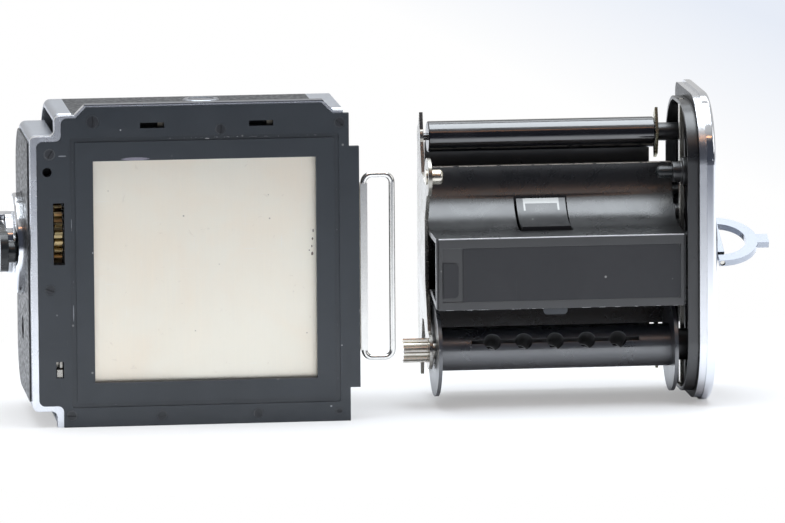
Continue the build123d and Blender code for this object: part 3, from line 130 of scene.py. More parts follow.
def shader_group(name, inputs, outputs=("Mask",)):
    """An empty group with a vector and further inputs: its tree, input sockets and output sockets."""
    tree = bpy.data.node_groups.new(name, "ShaderNodeTree")
    for label, value in {"Vector": (0.0, 0.0, 0.0), **inputs}.items():
        kind = "NodeSocketVector" if isinstance(value, tuple) else "NodeSocketFloat"
        tree.interface.new_socket(name=label, in_out="INPUT", socket_type=kind).default_value = value
    for label in outputs:
        tree.interface.new_socket(name=label, in_out="OUTPUT", socket_type="NodeSocketFloat")
    return tree, tree.nodes.new("NodeGroupInput").outputs, tree.nodes.new("NodeGroupOutput").inputs


def make_blotches():
    """Soft patches: 0 outside, 1 inside."""
    tree, come, go = shader_group("blotches", {"Scale": 0.1, "Cover": 0.5, "Softness": 0.15})
    value = noise(tree, come["Vector"], come["Scale"], 4.0, 0.6, 0.6)
    edge = maths(tree, "SUBTRACT", 1.0, come["Cover"])
    low = maths(tree, "SUBTRACT", edge, come["Softness"])
    high = maths(tree, "ADD", edge, come["Softness"])
    soft = add(tree, "ShaderNodeMapRange", {0: value, 1: low, 2: high}, interpolation_type="SMOOTHSTEP")
    join(tree, soft.outputs[0], go["Mask"])
    return tree


def make_scratches():
    """Thin short scratches that lie along X and, more faintly, along Z."""
    tree, come, go = shader_group("scratches", {"Scale": 1.0, "Amount": 0.5})
    long, across = 0.12, 2.2
    line_edge, gap_edge, gap_scale = (0.715, 0.76), (0.45, 0.62), 0.11
    marks = []
    for sizes, turn in (((long, across, across), 0.3), ((across, across, long), -0.4)):
        drawn = add(tree, "ShaderNodeMapping", {"Vector": come["Vector"], "Scale": sizes,
                                                "Rotation": (0.0, turn, 0.0)})
        value = noise(tree, drawn.outputs[0], come["Scale"], 1.0, 0.5)
        marks.append(spread(tree, value, *line_edge))
    both = maths(tree, "MAXIMUM", *marks)
    broken = spread(tree, noise(tree, come["Vector"], gap_scale, 2.0), *gap_edge)
    mark = maths(tree, "MULTIPLY", both, broken)
    join(tree, maths(tree, "MULTIPLY", mark, come["Amount"]), go["Mask"])
    return tree


def make_dust():
    """Specks of dust and lint, in a few of many cells."""
    tree, come, go = shader_group("dust", {"Scale": 0.5, "Amount": 0.5})
    speck_edge, few_edge = (0.05, 0.09), (0.80, 0.84)
    cells = add(tree, "ShaderNodeTexVoronoi", {"Randomness": 1.0, "Vector": come["Vector"],
                                               "Scale": come["Scale"]}, feature="F1")
    speck = spread(tree, cells.outputs["Distance"], *speck_edge, 1.0, 0.0)
    apart = add(tree, "ShaderNodeSeparateColor", {0: cells.outputs["Color"]})
    few = spread(tree, apart.outputs[0], *few_edge)
    mask = maths(tree, "MULTIPLY", speck, few)
    join(tree, maths(tree, "MULTIPLY", mask, come["Amount"]), go["Mask"])
    return tree


def make_grain():
    """A fine even bump."""
    tree, come, go = shader_group("grain", {"Scale": 4.0, "Depth": 0.02}, ("Height",))
    value = noise(tree, come["Vector"], come["Scale"], 3.0, 0.65)
    join(tree, maths(tree, "MULTIPLY", value, come["Depth"]), go["Height"])
    return tree


def make_brushing():
    """Fine parallel brush lines along Z, over X and Y."""
    tree, come, go = shader_group("brushing", {"Scale": 6.0, "Depth": 0.01}, ("Height", "Tone"))
    drawn = add(tree, "ShaderNodeMapping", {"Vector": come["Vector"], "Scale": (1.0, 1.0, 0.02)})
    value = noise(tree, drawn.outputs[0], come["Scale"], 4.0, 0.7)
    join(tree, maths(tree, "MULTIPLY", value, come["Depth"]), go["Height"])
    join(tree, value, go["Tone"])
    return tree


def make_pebbles():
    """The pebbled grain of a pressed covering."""
    tree, come, go = shader_group("pebbles", {"Scale": 0.9, "Depth": 0.12}, ("Height", "Valley"))
    warp, warp_share, fine_share = 0.9, 0.7, 0.18
    bent = add(tree, "ShaderNodeTexNoise", {"Vector": come["Vector"], "Scale": warp, "Detail": 2.0})
    moved = vector_maths(tree, "MULTIPLY_ADD", bent.outputs["Color"], (warp_share,) * 3, come["Vector"])
    cells = add(tree, "ShaderNodeTexVoronoi", {"Randomness": 1.0, "Smoothness": 0.35, "Vector": moved,
                                               "Scale": come["Scale"]}, feature="SMOOTH_F1")
    dome = spread(tree, cells.outputs["Distance"], 0.05, 0.75, 1.0, 0.0)
    fine = noise(tree, come["Vector"], 5.0, 2.0)
    height = maths(tree, "MULTIPLY_ADD", fine, fine_share, dome)
    join(tree, maths(tree, "MULTIPLY", height, come["Depth"]), go["Height"])
    join(tree, spread(tree, dome, 0.25, 0.6, 1.0, 0.0), go["Valley"])
    return tree


def make_outline_wear_and_highlight():
    """Spots along a rectangle's outline in X and Z: 1 on the line, broken up by noise; used for worn chips and
    for a painted highlight line.
    """
    tree, come, go = shader_group("outline_wear_and_highlight", {"Middle": (0.0, 0.0, 0.0), "Half": (0.0, 0.0, 0.0),
                                                   "Width": 0.6, "Scale": 0.8, "Cover": 0.4})
    crispness = 18.0
    away = vector_maths(tree, "SUBTRACT", come["Vector"], come["Middle"])
    size = vector_maths(tree, "ABSOLUTE", away)
    past = split_vector(tree, vector_maths(tree, "SUBTRACT", size, come["Half"]))
    from_line = maths(tree, "ABSOLUTE", maths(tree, "MAXIMUM", past["X"], past["Z"]))
    near = maths(tree, "SUBTRACT", 1.0, maths(tree, "DIVIDE", from_line, come["Width"], clamp=True))
    value = noise(tree, come["Vector"], come["Scale"], 5.0, 0.7)
    edge = maths(tree, "SUBTRACT", 1.0, come["Cover"])
    over = maths(tree, "SUBTRACT", maths(tree, "MULTIPLY", value, near), edge)
    join(tree, maths(tree, "MULTIPLY", over, crispness, clamp=True), go["Mask"])
    return tree


def make_spot():
    """A soft-edged oval spot: 1 inside, 0 outside, ragged by noise. A wide half size leaves an axis out."""
    tree, come, go = shader_group("spot", {"Middle": (0.0, 0.0, 0.0), "Half": (0.0, 0.0, 0.0), "Ragged": 0.0})
    away = vector_maths(tree, "SUBTRACT", come["Vector"], come["Middle"])
    size = vector_maths(tree, "LENGTH", vector_maths(tree, "DIVIDE", away, come["Half"]))
    rough = maths(tree, "SUBTRACT", noise(tree, come["Vector"], 2.2, 3.0), 0.5)
    edge = maths(tree, "MULTIPLY_ADD", rough, come["Ragged"], size)
    join(tree, spread(tree, edge, 0.92, 1.06, 1.0, 0.0), go["Mask"])
    return tree


def make_band():
    """A band between two heights along one direction: 1 inside, 0 outside, broken by noise."""
    tree, come, go = shader_group("band", {"Along": (0.0, 0.0, 1.0), "Low": 0.0, "High": 1.0, "Broken": 0.0})
    height = vector_maths(tree, "DOT_PRODUCT", come["Vector"], come["Along"])
    above = maths(tree, "GREATER_THAN", height, come["Low"])
    below = maths(tree, "LESS_THAN", height, come["High"])
    inside = maths(tree, "MULTIPLY", above, below)
    gaps = maths(tree, "GREATER_THAN", noise(tree, come["Vector"], 0.35, 4.0), come["Broken"])
    join(tree, maths(tree, "MULTIPLY", inside, gaps), go["Mask"])
    return tree


GROUPS = {
    "spot": make_spot(), "band": make_band(), "blotches": make_blotches(), "scratches": make_scratches(),
    "dust": make_dust(), "grain": make_grain(), "brushing": make_brushing(), "pebbles": make_pebbles(),
    "outline_wear_and_highlight": make_outline_wear_and_highlight(),
}


# ---------------------------------------------------------------- materials

class Finish:
    """A material under construction: its tree, its shader and its millimetre coordinates."""

    def __init__(self, name, metallic=0.0, roughness=0.4, **shader):
        self.name = name
        self.material = bpy.data.materials.new(name)
        self.material.use_nodes = True
        self.tree = self.material.node_tree
        self.shader = self.tree.nodes["Principled BSDF"]
        self.shader.inputs["Metallic"].default_value = metallic
        self.shader.inputs["Roughness"].default_value = roughness
        for label, value in shader.items():
            self.shader.inputs[label.replace("_", " ")].default_value = value
        place = add(self.tree, "ShaderNodeTexCoord").outputs["Object"]
        scaled = add(self.tree, "ShaderNodeMapping", {"Vector": place, "Scale": (MM_PER_M,) * 3})
        self.place = scaled.outputs[0]

    def effect(self, group, **values):
        """One of the shared groups, placed with its own values: its outputs."""
        made = add(self.tree, "ShaderNodeGroup")
        made.node_tree = GROUPS[group]
        for label, value in {"Vector": self.place, **values}.items():
            feed(self.tree, made.inputs[label], value)
        return made.outputs

    def mask(self, group, **values):
        """The mask of one of the shared groups."""
        return self.effect(group, **values)["Mask"]

    def colour(self, socket):
        join(self.tree, socket, self.shader.inputs["Base Color"])

    def rough(self, socket):
        join(self.tree, socket, self.shader.inputs["Roughness"])

    def bump(self, height):
        """Height in millimetres to the shader's normal."""
        made = add(self.tree, "ShaderNodeBump", {"Strength": 1.0, "Distance": MM, "Height": height})
        join(self.tree, made.outputs[0], self.shader.inputs["Normal"])

    def mix(self, factor, first, second):
        return blend_colour(self.tree, factor, first, second)

    def between(self, mask, low, high):
        """A number that goes from one value to another as a mask goes from 0 to 1."""
        return spread(self.tree, mask, 0.0, 1.0, low, high)

    def product(self, first, second):
        return maths(self.tree, "MULTIPLY", first, second)

    def most(self, *masks):
        """The strongest of several masks."""
        found = masks[0]
        for mask in masks[1:]:
            found = maths(self.tree, "MAXIMUM", found, mask)
        return found

    def overlay(self, mask, colour, metallic=None, rough=None):
        """Another colour, and if given another metalness and roughness, where a mask is 1."""
        under = self.shader.inputs["Base Color"].links[0].from_socket
        self.colour(self.mix(mask, under, colour))
        for label, value in (("Metallic", metallic), ("Roughness", rough)):
            if value is None:
                continue
            socket = self.shader.inputs[label]
            under = socket.links[0].from_socket if socket.is_linked else socket.default_value
            keep = self.product(maths(self.tree, "SUBTRACT", 1.0, mask), under)
            join(self.tree, maths(self.tree, "MULTIPLY_ADD", mask, value, keep), socket)


def painted(name, dark, light, rough, grain=(3.5, 0.02), worn=(0.42, 0.42, 0.42), scratched=0.25, dusty=0.35,
            gloss=0.5):
    """A painted or blackened metal finish: two close tones, smears in the gloss, fine marks and dust."""
    made = Finish(name, roughness=rough, Specular_IOR_Level=gloss)
    patch = made.mask("blotches", Scale=0.06, Cover=0.5, Softness=0.25)
    marks = made.mask("scratches", Scale=1.3, Amount=scratched)
    specks = made.mask("dust", Scale=0.22, Amount=dusty)
    base = made.mix(patch, dark, light)
    made.colour(made.mix(specks, made.mix(marks, base, worn), (0.55, 0.55, 0.53)))
    smear = made.mask("blotches", Scale=0.11, Cover=0.5, Softness=0.3)
    made.rough(made.between(smear, rough - 0.05, rough + 0.07))
    made.bump(made.effect("grain", Scale=grain[0], Depth=grain[1])["Height"])
    return made


def plated(name, tone, tint, rough, grain=(2.5, 0.006), smears=0.08, scratched=0.35, tarnish=0.3):
    """A plated or polished metal: smears in the gloss, fine scratches and a faint tarnish."""
    made = Finish(name, metallic=1.0, roughness=rough)
    film = made.mask("blotches", Scale=0.09, Cover=tarnish, Softness=0.2)
    marks = made.mask("scratches", Scale=1.6, Amount=scratched)
    made.colour(made.mix(marks, made.mix(film, tone, tint), tuple(part * 0.82 for part in tone)))
    smear = made.mask("blotches", Scale=0.16, Cover=0.45, Softness=0.3)
    gloss = made.between(smear, rough, rough + smears)
    made.rough(maths(made.tree, "ADD", gloss, made.product(marks, 0.25)))
    made.bump(made.effect("grain", Scale=grain[0], Depth=grain[1])["Height"])
    return made


FAR = 1000.0  # a half size or a distance in mm that nothing reaches
ALONG_X, ALONG_Y, ALONG_Z = (1.0, 0.0, 0.0), (0.0, 1.0, 0.0), (0.0, 0.0, 1.0)


def spot(made, x, z, half_x, half_z, ragged=0.0):
    """A spot's mask through the whole depth, at a place given in the modelling frame, in millimetres."""
    return made.mask("spot", Middle=Vector((x, 0.0, z)) + SHIFT, Half=(half_x, FAR, half_z), Ragged=ragged)


def spots(made, places):
    """The masks of several spots."""
    return [spot(made, *place) for place in places]


def band(made, along, low, high, broken=0.0):
    """A band's mask between two distances along a world axis, in millimetres."""
    return made.mask("band", Along=along, Low=low, High=high, Broken=broken)


def box_in_mm(node):
    """The lowest and highest corner of a node's box, in millimetres."""
    return [corner * MM_PER_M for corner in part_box(node)]


# Marks by place: x, z, half width, half height and raggedness, in mm in the modelling frame.
PLATE_CHIPS = ((-30.3, 47.2, 0.18, 0.25, 0.5), (36.6, 20.6, 0.22, 0.16, 0.5), (33.6, 4.1, 0.26, 0.2, 0.5),
               (-22.5, 80.2, 0.2, 0.18, 0.5), (0.8, 77.4, 0.6, 0.16, 0.5))
PLATE_SCRATCHES = ((-38.2, 73.5, 1.1, 0.16, 0.5), (-35.6, 31.0, 0.14, 2.2, 0.9), (-35.9, 55.0, 0.10, 1.6, 0.9))
PLATE_SCUFF = (-18.6, 72.35, 3.6, 0.42, 0.5)
# where the outline's chip marks thicken into a painted highlight along the step's upper edge
STEP_UPPER_HIGHLIGHT = (12.0, 77.7, 21.0, 1.4, 0.6)
SLIDE_SPECKS = ((29.3, 51.6, 0.16, 0.45, 0.9), (29.1, 49.4, 0.2, 0.35, 0.9), (28.9, 47.4, 0.16, 0.3, 0.9),
                (29.0, 45.4, 0.28, 0.55, 0.9), (28.2, 46.3, 0.18, 0.16, 0.9))
LOCATING_HOLE = (-42.3, 69.2)

# Heights and depths in mm in the shared frame.
STEP_MIDDLE, STEP_HALF = (SHIFT.x, 0.0, 41.85), (35.5, FAR, 35.85)
CASTING_FRONT_Y = -22.2
COVER_INNER_X = 83.56
# heights of the painted highlight lines along the bay's rim and the rear panel's edges
BAY_RIM = (63.30, 63.70)
PANEL_UPPER_EDGE, PANEL_LOWER_EDGE = (47.22, 47.60), (27.8, 28.0)

# black paint, also used as the painted shade in the locating hole
BLACK_AND_HOLE_SHADE = (0.006, 0.006, 0.007)


def front_enamel():
    """The front plate's semi-gloss enamel, with its few chips, scuffs and scratches, and a painted highlight of
    chip marks along the step's upper edge.
    """
    made = painted("front_enamel", (0.0150, 0.0205, 0.0270), (0.0195, 0.0260, 0.0335), 0.36, scratched=0.10,
                   dusty=0.35, worn=(0.16, 0.17, 0.18), gloss=0.72)
    outline = dict(Middle=STEP_MIDDLE, Half=STEP_HALF, Width=1.0)
    line = made.mask("outline_wear_and_highlight", Cover=0.44, Scale=1.5, **outline)
    # painted highlight: denser chip marks along the step outline's upper edge stand for its lit edge
    upper_highlight = spot(made, *STEP_UPPER_HIGHLIGHT)
    rare = made.mask("outline_wear_and_highlight", Cover=0.38, Scale=0.8, **outline)
    chips_and_highlight = made.most(made.product(line, upper_highlight), rare, *spots(made, PLATE_CHIPS))
    made.overlay(chips_and_highlight, (0.38, 0.39, 0.40), rough=0.5)
    made.overlay(made.most(*spots(made, PLATE_SCRATCHES)), (0.22, 0.23, 0.25))
    made.overlay(spot(made, *PLATE_SCUFF), (0.23, 0.22, 0.27))
    return made


def frame_chrome():
    """The front frame's satin edge chrome, with painted shade in the locating hole, and dark at its very top.
    """
    made = plated("frame_chrome", (0.74, 0.755, 0.785), (0.66, 0.68, 0.72), 0.22)
    # painted shade: the locating hole's walls near black
    made.overlay(spot(made, *LOCATING_HOLE, 1.32, 1.32), BLACK_AND_HOLE_SHADE, metallic=0.0, rough=0.6)
    top = box_in_mm("front_frame")[1].z
    made.overlay(band(made, ALONG_Z, top - 0.35, FAR), (0.17, 0.175, 0.19), rough=0.30)
    return made


def casting_chrome():
    """The crank casting's satin chrome, with painted shade on the locating hole's floor."""
    made = plated("casting_chrome", (0.50, 0.525, 0.57), (0.45, 0.475, 0.52), 0.32, grain=(5.0, 0.012),
                  scratched=0.2)
    # painted shade: the locating hole's floor near black
    hole_shade = spot(made, *LOCATING_HOLE, 1.35, 1.35)
    front = band(made, ALONG_Y, -FAR, CASTING_FRONT_Y)
    made.overlay(made.product(hole_shade, front), BLACK_AND_HOLE_SHADE, metallic=0.0, rough=0.6)
    return made


def cover_edge_chrome():
    """The cover's plate: satin chrome at its edge, black on the inner face."""
    made = plated("cover_edge_chrome", (0.72, 0.73, 0.75), (0.64, 0.655, 0.685), 0.20)
    inner = band(made, ALONG_X, -FAR, COVER_INNER_X)
    made.overlay(inner, (0.010, 0.010, 0.011), metallic=0.0, rough=0.38)
    return made


def slide_metal():
    """The dark slide's pale warm satin steel, with faint stains, specks and brush lines."""
    made = Finish("slide_metal", metallic=1.0)
    brushed = made.effect("brushing", Scale=3.2, Depth=0.012)
    stain = made.mask("blotches", Scale=0.028, Cover=0.5, Softness=0.18)
    patches = made.mask("blotches", Scale=0.42, Cover=0.30, Softness=0.04)
    specks = made.mask("dust", Scale=0.30, Amount=0.55)
    marks = made.mask("scratches", Scale=0.9, Amount=0.35)
    base = made.mix(stain, (0.94, 0.895, 0.775), (0.95, 0.865, 0.725))
    lines = spread(made.tree, brushed["Tone"], 0.35, 0.65, 0.0, 0.10)
    base = made.mix(lines, base, (0.80, 0.78, 0.73))
    base = made.mix(made.product(patches, 0.22), base, (0.62, 0.53, 0.45))
    specks = made.most(specks, *spots(made, SLIDE_SPECKS))
    base = made.mix(specks, base, (0.20, 0.16, 0.13))
    made.colour(made.mix(marks, base, (0.95, 0.94, 0.92)))
    smear = made.mask("blotches", Scale=0.07, Cover=0.5, Softness=0.3)
    made.rough(made.between(smear, 0.42, 0.51))
    made.bump(brushed["Height"])
    return made


def pressed_covering(name, dark, light, depth, rough, gloss):
    """The pebbled covering, dull in its valleys and faintly shiny on its domes."""
    made = Finish(name, roughness=rough, Specular_IOR_Level=gloss)
    pebble = made.effect("pebbles", Scale=0.85, Depth=depth)
    specks = made.mask("dust", Scale=0.25, Amount=0.5)
    made.colour(made.mix(specks, made.mix(pebble["Valley"], light, dark), (0.45, 0.44, 0.42)))
    made.rough(made.between(pebble["Valley"], rough - 0.08, rough + 0.15))
    made.bump(pebble["Height"])
    return made


def insert_black(name="insert_black", rough=0.30, lift=0.0):
    """The insert's satin black, its two tones raised by one amount."""
    dark, light = (0.0045, 0.0050, 0.0060), (0.0085, 0.0086, 0.0092)
    return painted(name, tuple(part + lift for part in dark), tuple(part + lift for part in light), rough,
                   scratched=0.04, dusty=0.35, grain=(2.0, 0.0015), worn=(0.10, 0.10, 0.10), gloss=1.0)


def bay_black():
    """The insert body's black, with a painted highlight along its upper rim as a broken metallic line."""
    made = insert_black("bay_black", 0.27, 0.003)
    # painted highlight: a broken silver line along the bay's rim
    made.overlay(band(made, ALONG_Z, *BAY_RIM, 0.40), (0.50, 0.46, 0.40), metallic=0.8, rough=0.3)
    return made


def panel_black():
    """The rear panel's black, with painted highlights along its upper and lower edges as broken silver lines.
    """
    made = insert_black("panel_black", 0.34, 0.010)
    # painted highlights along the panel's upper and lower edges
    upper_highlight = band(made, ALONG_Z, *PANEL_UPPER_EDGE, 0.33)
    lower_highlight = band(made, ALONG_Z, *PANEL_LOWER_EDGE, 0.52)
    made.overlay(made.most(upper_highlight, lower_highlight), (0.55, 0.55, 0.56), metallic=0.8, rough=0.3)
    return made


def finger_black():
    """The sensing finger's black, with a bright bar at its upper edge and the bar's two short legs."""
    bar_half, leg_inner, bar_depth, leg_depth, above = 4.9, 4.4, 1.3, 3.0, 1.0
    made = insert_black("finger_black")
    low, high = box_in_mm("sensing_finger")
    middle, top = (low.x + high.x) / 2, high.z
    across = band(made, ALONG_X, middle - bar_half, middle + bar_half)
    bar = made.product(across, band(made, ALONG_Z, top - bar_depth, top + above))
    inner = band(made, ALONG_X, middle - leg_inner, middle + leg_inner)
    outer = maths(made.tree, "SUBTRACT", across, inner)
    legs = made.product(outer, band(made, ALONG_Z, top - leg_depth, top + above))
    made.overlay(made.most(bar, legs), (0.22, 0.22, 0.215), metallic=1.0, rough=0.35)
    return made


def spool_black():
    """The take-up spool's black, with painted shade, near black and dull, inside its core behind its openings.
    """
    inside_radius, openings_half = 5.40, 25.0
    made = painted("spool_black", (0.020, 0.023, 0.028), (0.027, 0.030, 0.036), 0.30, grain=(3.0, 0.003),
                   scratched=0.05, dusty=0.3, worn=(0.10, 0.10, 0.10), gloss=1.0)
    made.shader.inputs["IOR"].default_value = 1.75
    low, high = box_in_mm("take_up_spool")
    middle = (low + high) / 2
    # painted shade: the core's inside, seen through the openings, near black
    inside = made.mask("spot", Middle=middle, Half=(FAR, inside_radius, inside_radius))
    openings = band(made, ALONG_X, middle.x - openings_half, middle.x + openings_half)
    made.overlay(made.product(inside, openings), (0.002, 0.002, 0.002), rough=0.9)
    return made


def roller_gloss():
    """The rollers' glossy black enamel, which mirrors the lights in sharp bands."""
    made = painted("roller_gloss", (0.0025, 0.0025, 0.004), (0.004, 0.004, 0.006), 0.15, grain=(1.5, 0.0004),
                   scratched=0.10, dusty=0.35, gloss=1.0)
    made.shader.inputs["IOR"].default_value = 1.65
    return made


def clear_window():
    """The counter's clear window."""
    made = Finish("clear_window", Transmission_Weight=1.0, IOR=1.49)
    made.shader.inputs["Base Color"].default_value = (0.96, 0.97, 0.98, 1.0)
    smear = made.mask("blotches", Scale=0.5, Cover=0.4, Softness=0.2)
    made.rough(made.between(smear, 0.02, 0.08))
    return made


def felt():
    """The light seal's black felt."""
    made = Finish("felt", roughness=0.95, Sheen_Weight=0.4)
    fuzz = made.effect("grain", Scale=2.5, Depth=0.12)
    patch = made.mask("blotches", Scale=1.5, Cover=0.5, Softness=0.2)
    made.colour(made.mix(patch, (0.012, 0.012, 0.013), (0.03, 0.03, 0.031)))
    made.bump(fuzz["Height"])
    return made


MADE_FINISHES = (
    front_enamel(),
    slide_metal(),
    pressed_covering("body_covering", (0.010, 0.010, 0.011), (0.024, 0.024, 0.026), 0.13, 0.55, 0.75),
    pressed_covering("side_grain", (0.020, 0.020, 0.021), (0.045, 0.046, 0.048), 0.10, 0.40, 0.6),
    insert_black(),
    bay_black(),
    panel_black(),
    finger_black(),
    frame_chrome(),
    casting_chrome(),
    cover_edge_chrome(),
    painted("plate_film", (0.0220, 0.0225, 0.0255), (0.0265, 0.0270, 0.0300), 0.50, scratched=0.08, dusty=0.7,
            grain=(6.0, 0.01), worn=(0.10, 0.10, 0.10)),
    clear_window(),
    felt(),
    painted("counter_white", (0.74, 0.73, 0.69), (0.80, 0.79, 0.76), 0.4, scratched=0.1, dusty=0.0,
            worn=(0.6, 0.59, 0.55)),
    painted("chamber_black", BLACK_AND_HOLE_SHADE, (0.010, 0.010, 0.011), 0.60, dusty=0.3, scratched=0.1),
    painted("screw_black", (0.014, 0.016, 0.020), (0.034, 0.036, 0.040), 0.32, scratched=0.5, dusty=0.2,
            worn=(0.22, 0.22, 0.22)),
    painted("worn_ring", (0.022, 0.026, 0.032), (0.08, 0.085, 0.09), 0.4, dusty=0.0),
    painted("tongue_grey", (0.035, 0.040, 0.046), (0.050, 0.055, 0.062), 0.35),
    roller_gloss(),
    spool_black(),
    painted("lever_black", (0.010, 0.012, 0.013), (0.016, 0.019, 0.020), 0.24, scratched=0.35, dusty=0.3,
            worn=(0.2, 0.2, 0.2)),
    plated("satin_chrome", (0.50, 0.525, 0.57), (0.45, 0.475, 0.52), 0.32, grain=(5.0, 0.012), scratched=0.2),
    plated("bright_chrome", (0.74, 0.755, 0.785), (0.68, 0.70, 0.735), 0.08, grain=(1.2, 0.0004), smears=0.04,
           scratched=0.2),
    plated("key_chrome", (0.36, 0.38, 0.42), (0.32, 0.34, 0.38), 0.15, grain=(1.2, 0.0004), smears=0.05,
           scratched=0.15),
    plated("button_satin", (0.30, 0.31, 0.335), (0.26, 0.27, 0.29), 0.28, grain=(5.0, 0.010)),
    plated("side_nickel", (0.40, 0.385, 0.355), (0.30, 0.28, 0.23), 0.24, tarnish=0.4),
    plated("nickel", (0.66, 0.63, 0.57), (0.52, 0.47, 0.36), 0.20, tarnish=0.38),
    plated("wire_nickel", (0.72, 0.71, 0.68), (0.62, 0.60, 0.55), 0.18),
    plated("tarnished_nickel", (0.50, 0.46, 0.33), (0.22, 0.22, 0.13), 0.24, tarnish=0.5),
    # the catch bar's nickel, darkened as painted shade of the hook slots it sits in; its blotches are tarnish
    plated("shaded_hook_nickel", (0.26, 0.235, 0.19), (0.10, 0.09, 0.07), 0.3, tarnish=0.5),
    plated("brass", (0.50, 0.42, 0.22), (0.20, 0.13, 0.07), 0.26, tarnish=0.52),
    plated("gear_steel", (0.55, 0.54, 0.52), (0.42, 0.40, 0.36), 0.32),
)
FINISHES = {made.name: made.material for made in MADE_FINISHES}

DRESS = {
    # node: (finish, edge rounding in mm)
    "front_plate": ("front_enamel", 0.12),
    "front_frame": ("frame_chrome", 0.22),
    "plate_screws": ("screw_black", 0.06),
    "housing_shell": ("chamber_black", 0.0),
    "covering": ("body_covering", 0.0),
    "mouth_band": ("satin_chrome", 0.12),
    "crank_casting": ("casting_chrome", 0.0),
    "side_covering": ("side_grain", 0.15),
    "gear_partition": ("chamber_black", 0.0),
    "gate_rails": ("nickel", 0.15),
    "slide_seal": ("felt", 0.1),
    "button_base": ("button_satin", 0.08),
    "crank_base": ("bright_chrome", 0.0),
    "gear_axles": ("gear_steel", 0.0),
    "counter_window": ("clear_window", 0.0),
    "counter_reset_lever": ("side_nickel", 0.08),
    "dark_slide": ("slide_metal", 0.0),
    "slide_hem": ("wire_nickel", 0.3),
    "slide_bail": ("wire_nickel", 0.0),
    "catch_bar": ("shaded_hook_nickel", 0.08),
    "release_button": ("button_satin", 0.05),
    "crank_shaft": ("gear_steel", 0.0),
    "crank_hub": ("bright_chrome", 0.2),
    "lever_pin": ("nickel", 0.1),
    "timing_gear": ("brass", 0.0),
    "winding_gear": ("gear_steel", 0.0),
    "crank_lever": ("lever_black", 0.35),
    "crank_grip": ("lever_black", 0.0),
    "drive_gear": ("brass", 0.05),
    "counter_dial": ("counter_white", 0.0),
    "reminder_dial": ("button_satin", 0.1),
    "cover_plate": ("cover_edge_chrome", 0.25),
    "cover_rim": ("bright_chrome", 0.0),
    "cover_covering": ("body_covering", 0.1),
    "cover_lip": ("insert_black", 0.1),
    "insert_body": ("bay_black", 0.15),
    "cover_posts": ("insert_black", 0.2),
    "rear_panel": ("panel_black", 0.12),
    "name_plate": ("plate_film", 0.05),
    "number_plate": ("plate_film", 0.05),
    "side_plate": ("side_nickel", 0.1),
    "roller_brackets": ("tarnished_nickel", 0.08),
    "roller_posts": ("insert_black", 0.2),
    "supply_stud": ("nickel", 0.0),
    "spool_posts": ("insert_black", 0.3),
    "pressure_springs": ("gear_steel", 0.04),
    "finger_bracket": ("insert_black", 0.1),
    "key_disc": ("key_chrome", 0.1),
    "bow_pin": ("nickel", 0.1),
    "latch_cam": ("nickel", 0.08),
    "key_bow": ("key_chrome", 0.25),
    "upper_bolt": ("nickel", 0.1),
    "lower_bolt": ("nickel", 0.1),
    "take_up_spool": ("spool_black", 0.12),
    "take_up_pinion": ("nickel", 0.08),
    "upper_roller": ("roller_gloss", 0.0),
    "lower_roller": ("roller_gloss", 0.0),
    "supply_plunger": ("lever_black", 0.0),
    "pressure_plate": ("insert_black", 0.15),
    "sensing_finger": ("finger_black", 0.12),
}

BODIES = frame["record"]["behaviour"]["bodies"]
BODY_OF = {node: body for body, members in BODIES.items() for node in members}


# ---------------------------------------------------------------- pieces

def set_material(target, material):
    target.data.materials.clear()
    target.data.materials.append(material)


def piece(name, bm, material, body):
    """A finished bmesh as a piece that rides on a body and takes its finish from a slot."""
    mesh = bpy.data.meshes.new(name)
    bm.to_mesh(mesh)
    bm.free()
    if "custom_normal" in mesh.attributes:
        mesh.attributes.remove(mesh.attributes["custom_normal"])
    made = bpy.data.objects.new(name, mesh)
    scene.collection.objects.link(made)
    set_material(made, FINISHES[material])
    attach(made, body)
    return made


WELD = 1e-6  # m, vertices closer than this are one
FLAT = radians(0.6)  # faces that meet within this angle are one
ROUNDED = radians(30)  # edges past this angle are rounded
CREASED = radians(50)  # edges still past this angle are shaded sharp


def softened(node, width, material):
    """A node's copy with its edges rounded, standing for the node."""
    bm = bmesh.new()
    bm.from_mesh(nodes[node].data)
    bmesh.ops.remove_doubles(bm, verts=bm.verts, dist=WELD)
    bmesh.ops.dissolve_limit(bm, angle_limit=FLAT, verts=bm.verts, edges=bm.edges)
    sharp = [edge for edge in bm.edges if len(edge.link_faces) == 2 and edge.calc_face_angle(0.0) > ROUNDED]
    bmesh.ops.bevel(bm, geom=sharp, offset=width * MM, offset_type="OFFSET", segments=2, profile=0.5,
                    affect="EDGES", material=-1, clamp_overlap=True)
    for face in bm.faces:
        face.smooth = True
    for edge in bm.edges:
        edge.smooth = len(edge.link_faces) == 2 and edge.calc_face_angle(0.0) < CREASED
    made = piece(node + "_dressed", bm, material, BODY_OF[node])
    made.modifiers.new("even", "WEIGHTED_NORMAL").keep_sharp = True
    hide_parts(node)


for node, (finish, width) in DRESS.items():
    set_material(nodes[node], FINISHES[finish])
    if width > 0:
        softened(node, width, finish)

HEAD_SUNK = 0.05  # depth of the screw heads under the plate's face
RING_FRONT, RING_BACK, RING_WIDTH, RING_STEPS = HEAD_SUNK - 0.03, HEAD_SUNK + 0.02, 0.26, 28
# x, z and radius of each screw head, in mm in the modelling frame
HEADS = ((-30.0, 82.5, 1.8), (4.4, 79.9, 1.5), (36.4, 81.0, 1.5), (-41.6, 74.0, 1.55), (-41.8, 37.4, 1.5),
         (-36.4, 3.2, 1.5), (-12.1, 2.7, 1.4), (13.9, 2.7, 1.4), (35.8, 2.7, 1.0))


